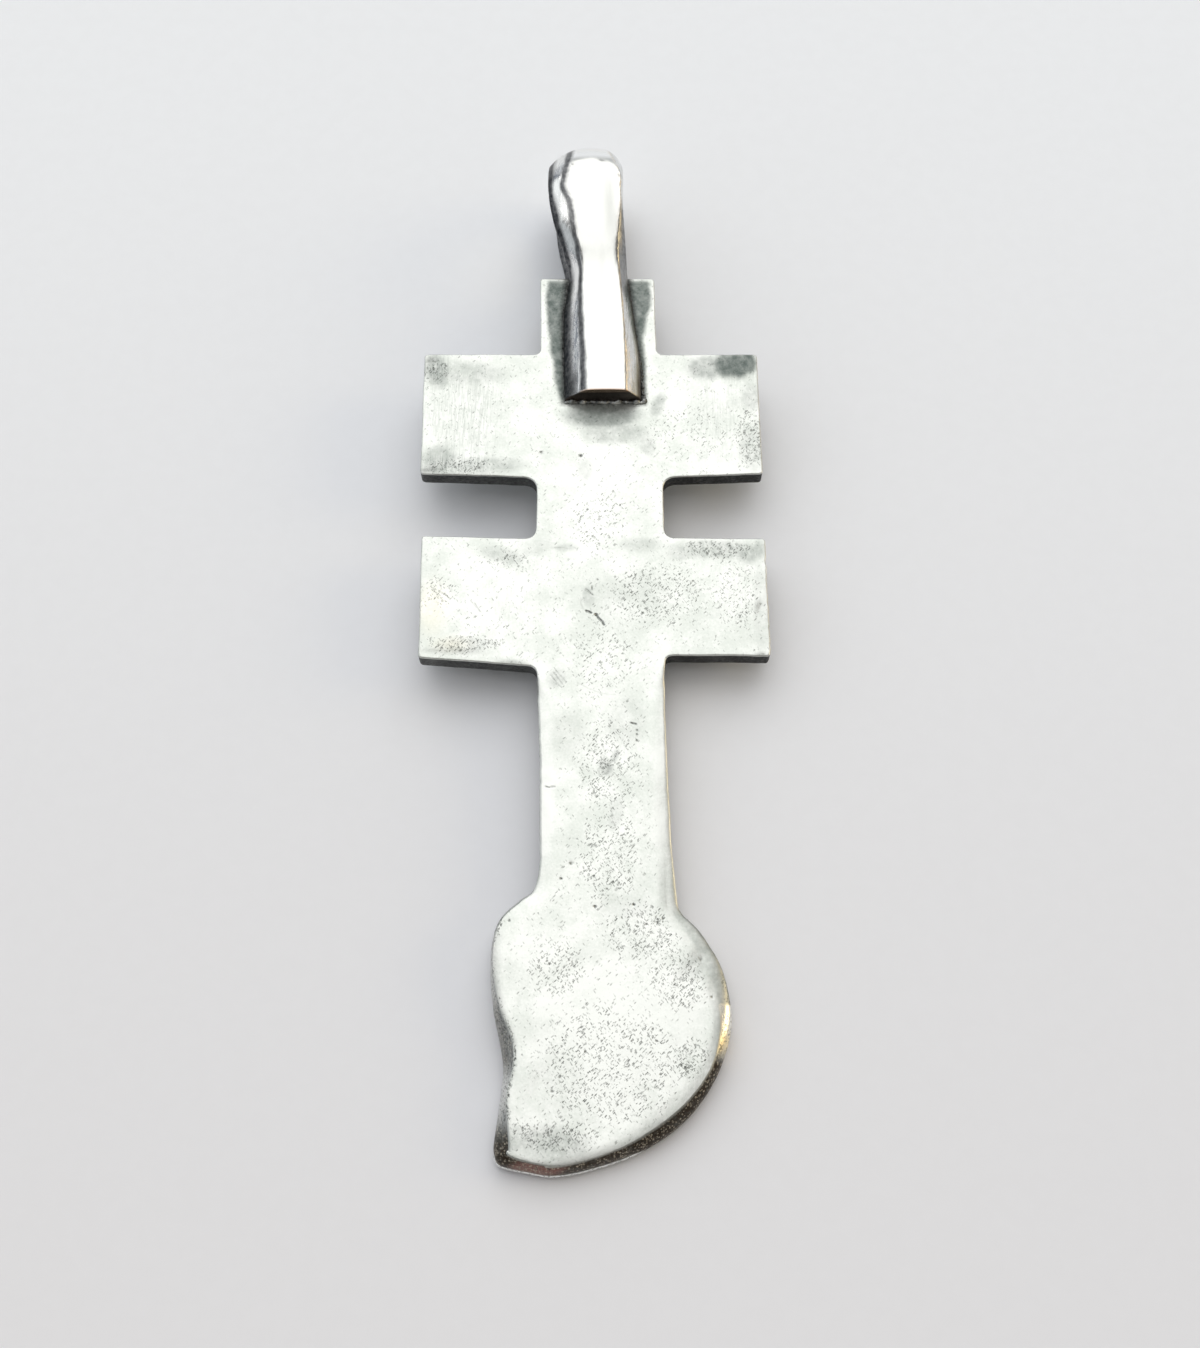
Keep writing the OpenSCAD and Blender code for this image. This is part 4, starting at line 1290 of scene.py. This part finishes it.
def solderTree():
    # a run of lumps along a line, fused into one skin; the line says how heavy the run is
    tree, given, out = geometryTree("solderRun", {
        "Spacing": "Float", "Radius": "Float", "Lump": "Float",
        "Jitter": "Vector", "Voxel": "Float", "Seed": "Int",
    })
    stops = newNode(tree, "GeometryNodeCurveToPoints", {
        "Curve": curveFrom(tree, given["Geometry"]), "Length": given["Spacing"],
    }, mode="LENGTH")
    # most lumps are small, a few are large: inputs 2 and 3 are the least and the most
    size = newNode(tree, "FunctionNodeRandomValue", {
        2: 0.0, 3: 1.0, "Seed": given["Seed"],
    }, data_type="FLOAT")
    rare = mathNode(tree, "POWER", size.outputs[1], 6.0)
    swell = times(tree, times(tree, rare, given["Lump"]), named(tree, "heavy"))
    drift = newNode(tree, "FunctionNodeRandomValue", {
        0: vectorNode(tree, "SCALE", given["Jitter"], -1.0), 1: given["Jitter"],
        "Seed": plus(tree, given["Seed"], 1),
    }, data_type="FLOAT_VECTOR")
    moved = newNode(tree, "GeometryNodeSetPosition", {
        "Geometry": stops.outputs["Points"], "Offset": drift.outputs[0],
    })
    cloud = newNode(tree, "GeometryNodePointsToVolume", {
        "Points": moved.outputs[0], "Radius": plus(tree, given["Radius"], swell),
        "Voxel Size": given["Voxel"], "Density": 1.0,
    }, resolution_mode="VOXEL_SIZE")
    skin = newNode(tree, "GeometryNodeVolumeToMesh", {
        "Volume": cloud.outputs[0], "Voxel Size": given["Voxel"], "Threshold": 0.5,
    }, resolution_mode="VOXEL_SIZE")
    endTree(tree, out, skin.outputs[0], given["Material"])
    return tree


def seamLine(table, height, bridgeSteps):
    # up one side of a soldered end, across it and down the other: u, v, w
    left = np.array([(middle - half, v, height) for v, middle, half in table])[::-1]
    right = np.array([(middle + half, v, height) for v, middle, half in table])
    return np.vstack([left, np.linspace(left[-1], right[0], bridgeSteps)[1:-1], right])


def buildSolder(material):
    steps = np.arange(solder["backEnd"], 26.6, 0.1)
    middles = np.interp(steps, solder["v"], solder["middle"])
    halves = np.interp(steps, solder["v"], solder["half"])
    backLine = seamLine(list(zip(steps, middles, halves)), 0.0, 50)
    steps = np.arange(solder["frontEnd"], 26.7, 0.1)
    table = [(v, solder["frontMiddle"], solder["frontHalf"]) for v in steps]
    frontLine = seamLine(table, -plate["armThickness"], 40)
    tree = solderTree()
    jitter = solder["jitter"]
    points, faces = [], []
    for line, end in ((backLine, solder["backEnd"]), (frontLine, solder["frontEnd"])):
        heavy = 0.25 + 0.75 * ease((end + 0.5 - line[:, 1]) / 0.5)
        heavy += 0.5 * spots(line[:, :2], solder["heaps"])
        source = lineObject("seamLine", line, False, {"heavy": heavy})
        part = bakeModifier(source, tree, {
            "Spacing": solder["spacing"], "Radius": solder["radius"], "Lump": solder["lump"],
            "Jitter": (jitter, jitter, 0.3 * jitter), "Voxel": solder["voxel"],
            "Seed": solder["seed"], "Material": material,
        })
        bpy.data.objects.remove(source)
        base = len(points)
        points += [tuple(v.co) for v in part.vertices]
        faces += [[base + i for i in p.vertices] for p in part.polygons]
    mesh = meshFrom("solderSeam", points, faces)
    coords = np.array(points)
    low = ease((18.6 - coords[:, 1]) / 0.4) * (coords[:, 2] > -0.6)
    sootAndShade = 0.95 - 0.45 * low + 0.7 * waves(coords, 0.35, 2.2) * low
    giveMasks(mesh, {"sootAndShade": np.clip(sootAndShade, 0, 1)})
    return finishPiece("solderSeam", mesh, material, 75)


paper = {
    "half": 1.6,
    "colour": (0.885, 0.908, 0.948),
    # painted shade: the paper's colour towards the camera's side
    "paintedShadeColour": (0.77, 0.77, 0.798),
    "fade": (-0.05, 0.06),  # where the paper goes from the painted shade towards the camera's side to the upper colour, in metres
    "fibre": (900.0, 4.0, 0.6),
    "fibreColour": (0.6, 0.59, 0.6),
    "fibreShare": 0.03,
    "rough": 0.85,
    "specular": 0.1,
}


def buildFloor():
    material, tree, shader, coords = newMaterial("palePaper", 0.0)
    # painted shade: the paper darkens towards the camera's side
    share = stepNode(tree, splitVector(tree, coords)["Y"], *paper["fade"])
    fibre = noiseNode(tree, coords, *paper["fibre"])
    feed(tree, shader["Base Color"], layered(tree, paper["paintedShadeColour"], [
        (share, paper["colour"]),
        (stepNode(tree, fibre, 0.35, 0.65, 0.0, paper["fibreShare"]), paper["fibreColour"]),
    ]))
    feed(tree, shader["Roughness"], paper["rough"])
    feed(tree, shader["Specular IOR Level"], paper["specular"])
    bumpInto(tree, shader, [(fibre, 0.00004, 0.2)])
    half = paper["half"]
    corners = [(-half, -half, 0), (half, -half, 0), (half, half, 0), (-half, half, 0)]
    mesh = meshFrom("paperFloor", corners, [[0, 1, 2, 3]])
    mesh.materials.append(material)
    floor = placeObject("paperFloor", mesh)
    return floor


light = {
    "strength": 1.0,
    "keySill": (0.42, 0.5),
    "wall": (0.84, 0.86, 0.88),
    "wallEdge": (0.80, 0.95),
    "ambient": (0.265, 0.265, 0.272),
    "ambientEdge": (0.25, 0.85),
    "front": (0.145, 0.134, 0.125),
    "frontEdge": (-0.5, 0.1),
    "lowCool": (0.21, 0.23, 0.265),
    "lowWarm": (0.42, 0.40, 0.365),
    "seen": (0.84, 0.84, 0.85),  # what the camera sees of the sky itself
}

# soft round patches of sky: colour, direction, and the edge as cosines
patches = {
    "key": ((1.93, 1.93, 1.91), (-0.05, 0.69, 0.72), (0.62, 0.88)),
    "overhead": ((1.75, 1.75, 1.725), (-0.02, -0.06, 1.0), (0.92, 0.985)),
    "low": ((0.50, 0.53, 0.55), (-0.80, -0.30, 0.50), (0.86, 0.97)),
    "side": ((1.0, 1.03, 1.04), (-0.74, 0.38, 0.55), (0.90, 0.965)),
    "glow": ((1.5, 1.15, 0.72), (0.91, 0.38, 0.16), (0.972, 0.995)),
    "spark": ((3.6, 3.0, 1.9), (0.91, 0.10, 0.40), (0.965, 0.99)),
}


def buildLight():
    world = bpy.data.worlds.new("softStudio")
    bpy.context.scene.world = world
    world.use_nodes = True
    tree = world.node_tree
    direction = newNode(tree, "ShaderNodeTexCoord").outputs["Generated"]
    x, y, z = splitVector(tree, direction)

    def patch(name):
        colour, aim, edge = patches[name]
        node = newNode(tree, "ShaderNodeVectorMath", {0: direction}, operation="DOT_PRODUCT")
        node.inputs[1].default_value = Vector(aim).normalized()
        return stepNode(tree, node.outputs["Value"], *edge), colour

    warm = stepNode(tree, minus(tree, x, y), -0.5, 0.5)
    ambient = mixColour(tree, stepNode(tree, y, *light["frontEdge"]), light["front"], light["ambient"])
    ahead = splitVector(tree, vectorNode(tree, "NORMALIZE", joinVector(tree, x, y)))["Y"]
    key, keyColour = patch("key")
    colour = layered(tree, light["lowCool"], [
        (warm, light["lowWarm"]),
        (stepNode(tree, z, *light["ambientEdge"]), ambient),
        (stepNode(tree, ahead, *light["wallEdge"]), light["wall"]),
        patch("overhead"),
        (times(tree, key, stepNode(tree, z, *light["keySill"])), keyColour),
        *(patch(name) for name in ("low", "side", "glow", "spark")),
    ])
    background = tree.nodes["Background"]
    feed(tree, background.inputs["Color"], colour)
    feed(tree, background.inputs["Strength"], light["strength"])
    seen = newNode(tree, "ShaderNodeBackground", {"Color": light["seen"], "Strength": 1.0})
    ray = newNode(tree, "ShaderNodeLightPath").outputs["Is Camera Ray"]
    both = newNode(tree, "ShaderNodeMixShader", {0: ray, 1: background.outputs[0], 2: seen.outputs[0]})
    feed(tree, tree.nodes["World Output"].inputs["Surface"], both.outputs[0])


camera = {
    "distance": 105.88,
    "lean": 20.0,
    "focalPixels": 1800.0,
    "imageHeight": 1348.0,
    "sensor": 36.0,
    "clip": (0.001, 20.0),
}


def buildCamera():
    lean = math.radians(camera["lean"])
    back = Vector((0, -math.sin(lean), math.cos(lean)))
    up = Vector((0, math.cos(lean), math.sin(lean)))
    turn = Matrix(((1, up.x, back.x), (0, up.y, back.y), (0, up.z, back.z))).to_4x4()
    place = toRow @ Matrix.Translation(back * camera["distance"]) @ turn
    spot, facing, _ = place.decompose()
    data = bpy.data.cameras.new("photoCamera")
    data.sensor_width = camera["sensor"]
    data.lens = camera["focalPixels"] * camera["sensor"] / camera["imageHeight"]
    data.clip_start, data.clip_end = camera["clip"]
    shot = placeObject("photoCamera", data)
    shot.matrix_world = Matrix.Translation(spot) @ facing.to_matrix().to_4x4()
    bpy.context.scene.camera = shot


buildCamera()
buildFloor()
buildLight()
bpy.context.scene.view_settings.view_transform = "Standard"
print("room, light and camera are set")

buildPlate(castSilver())
buildStrap(polishedSilver())
buildSolder(solderSilver())
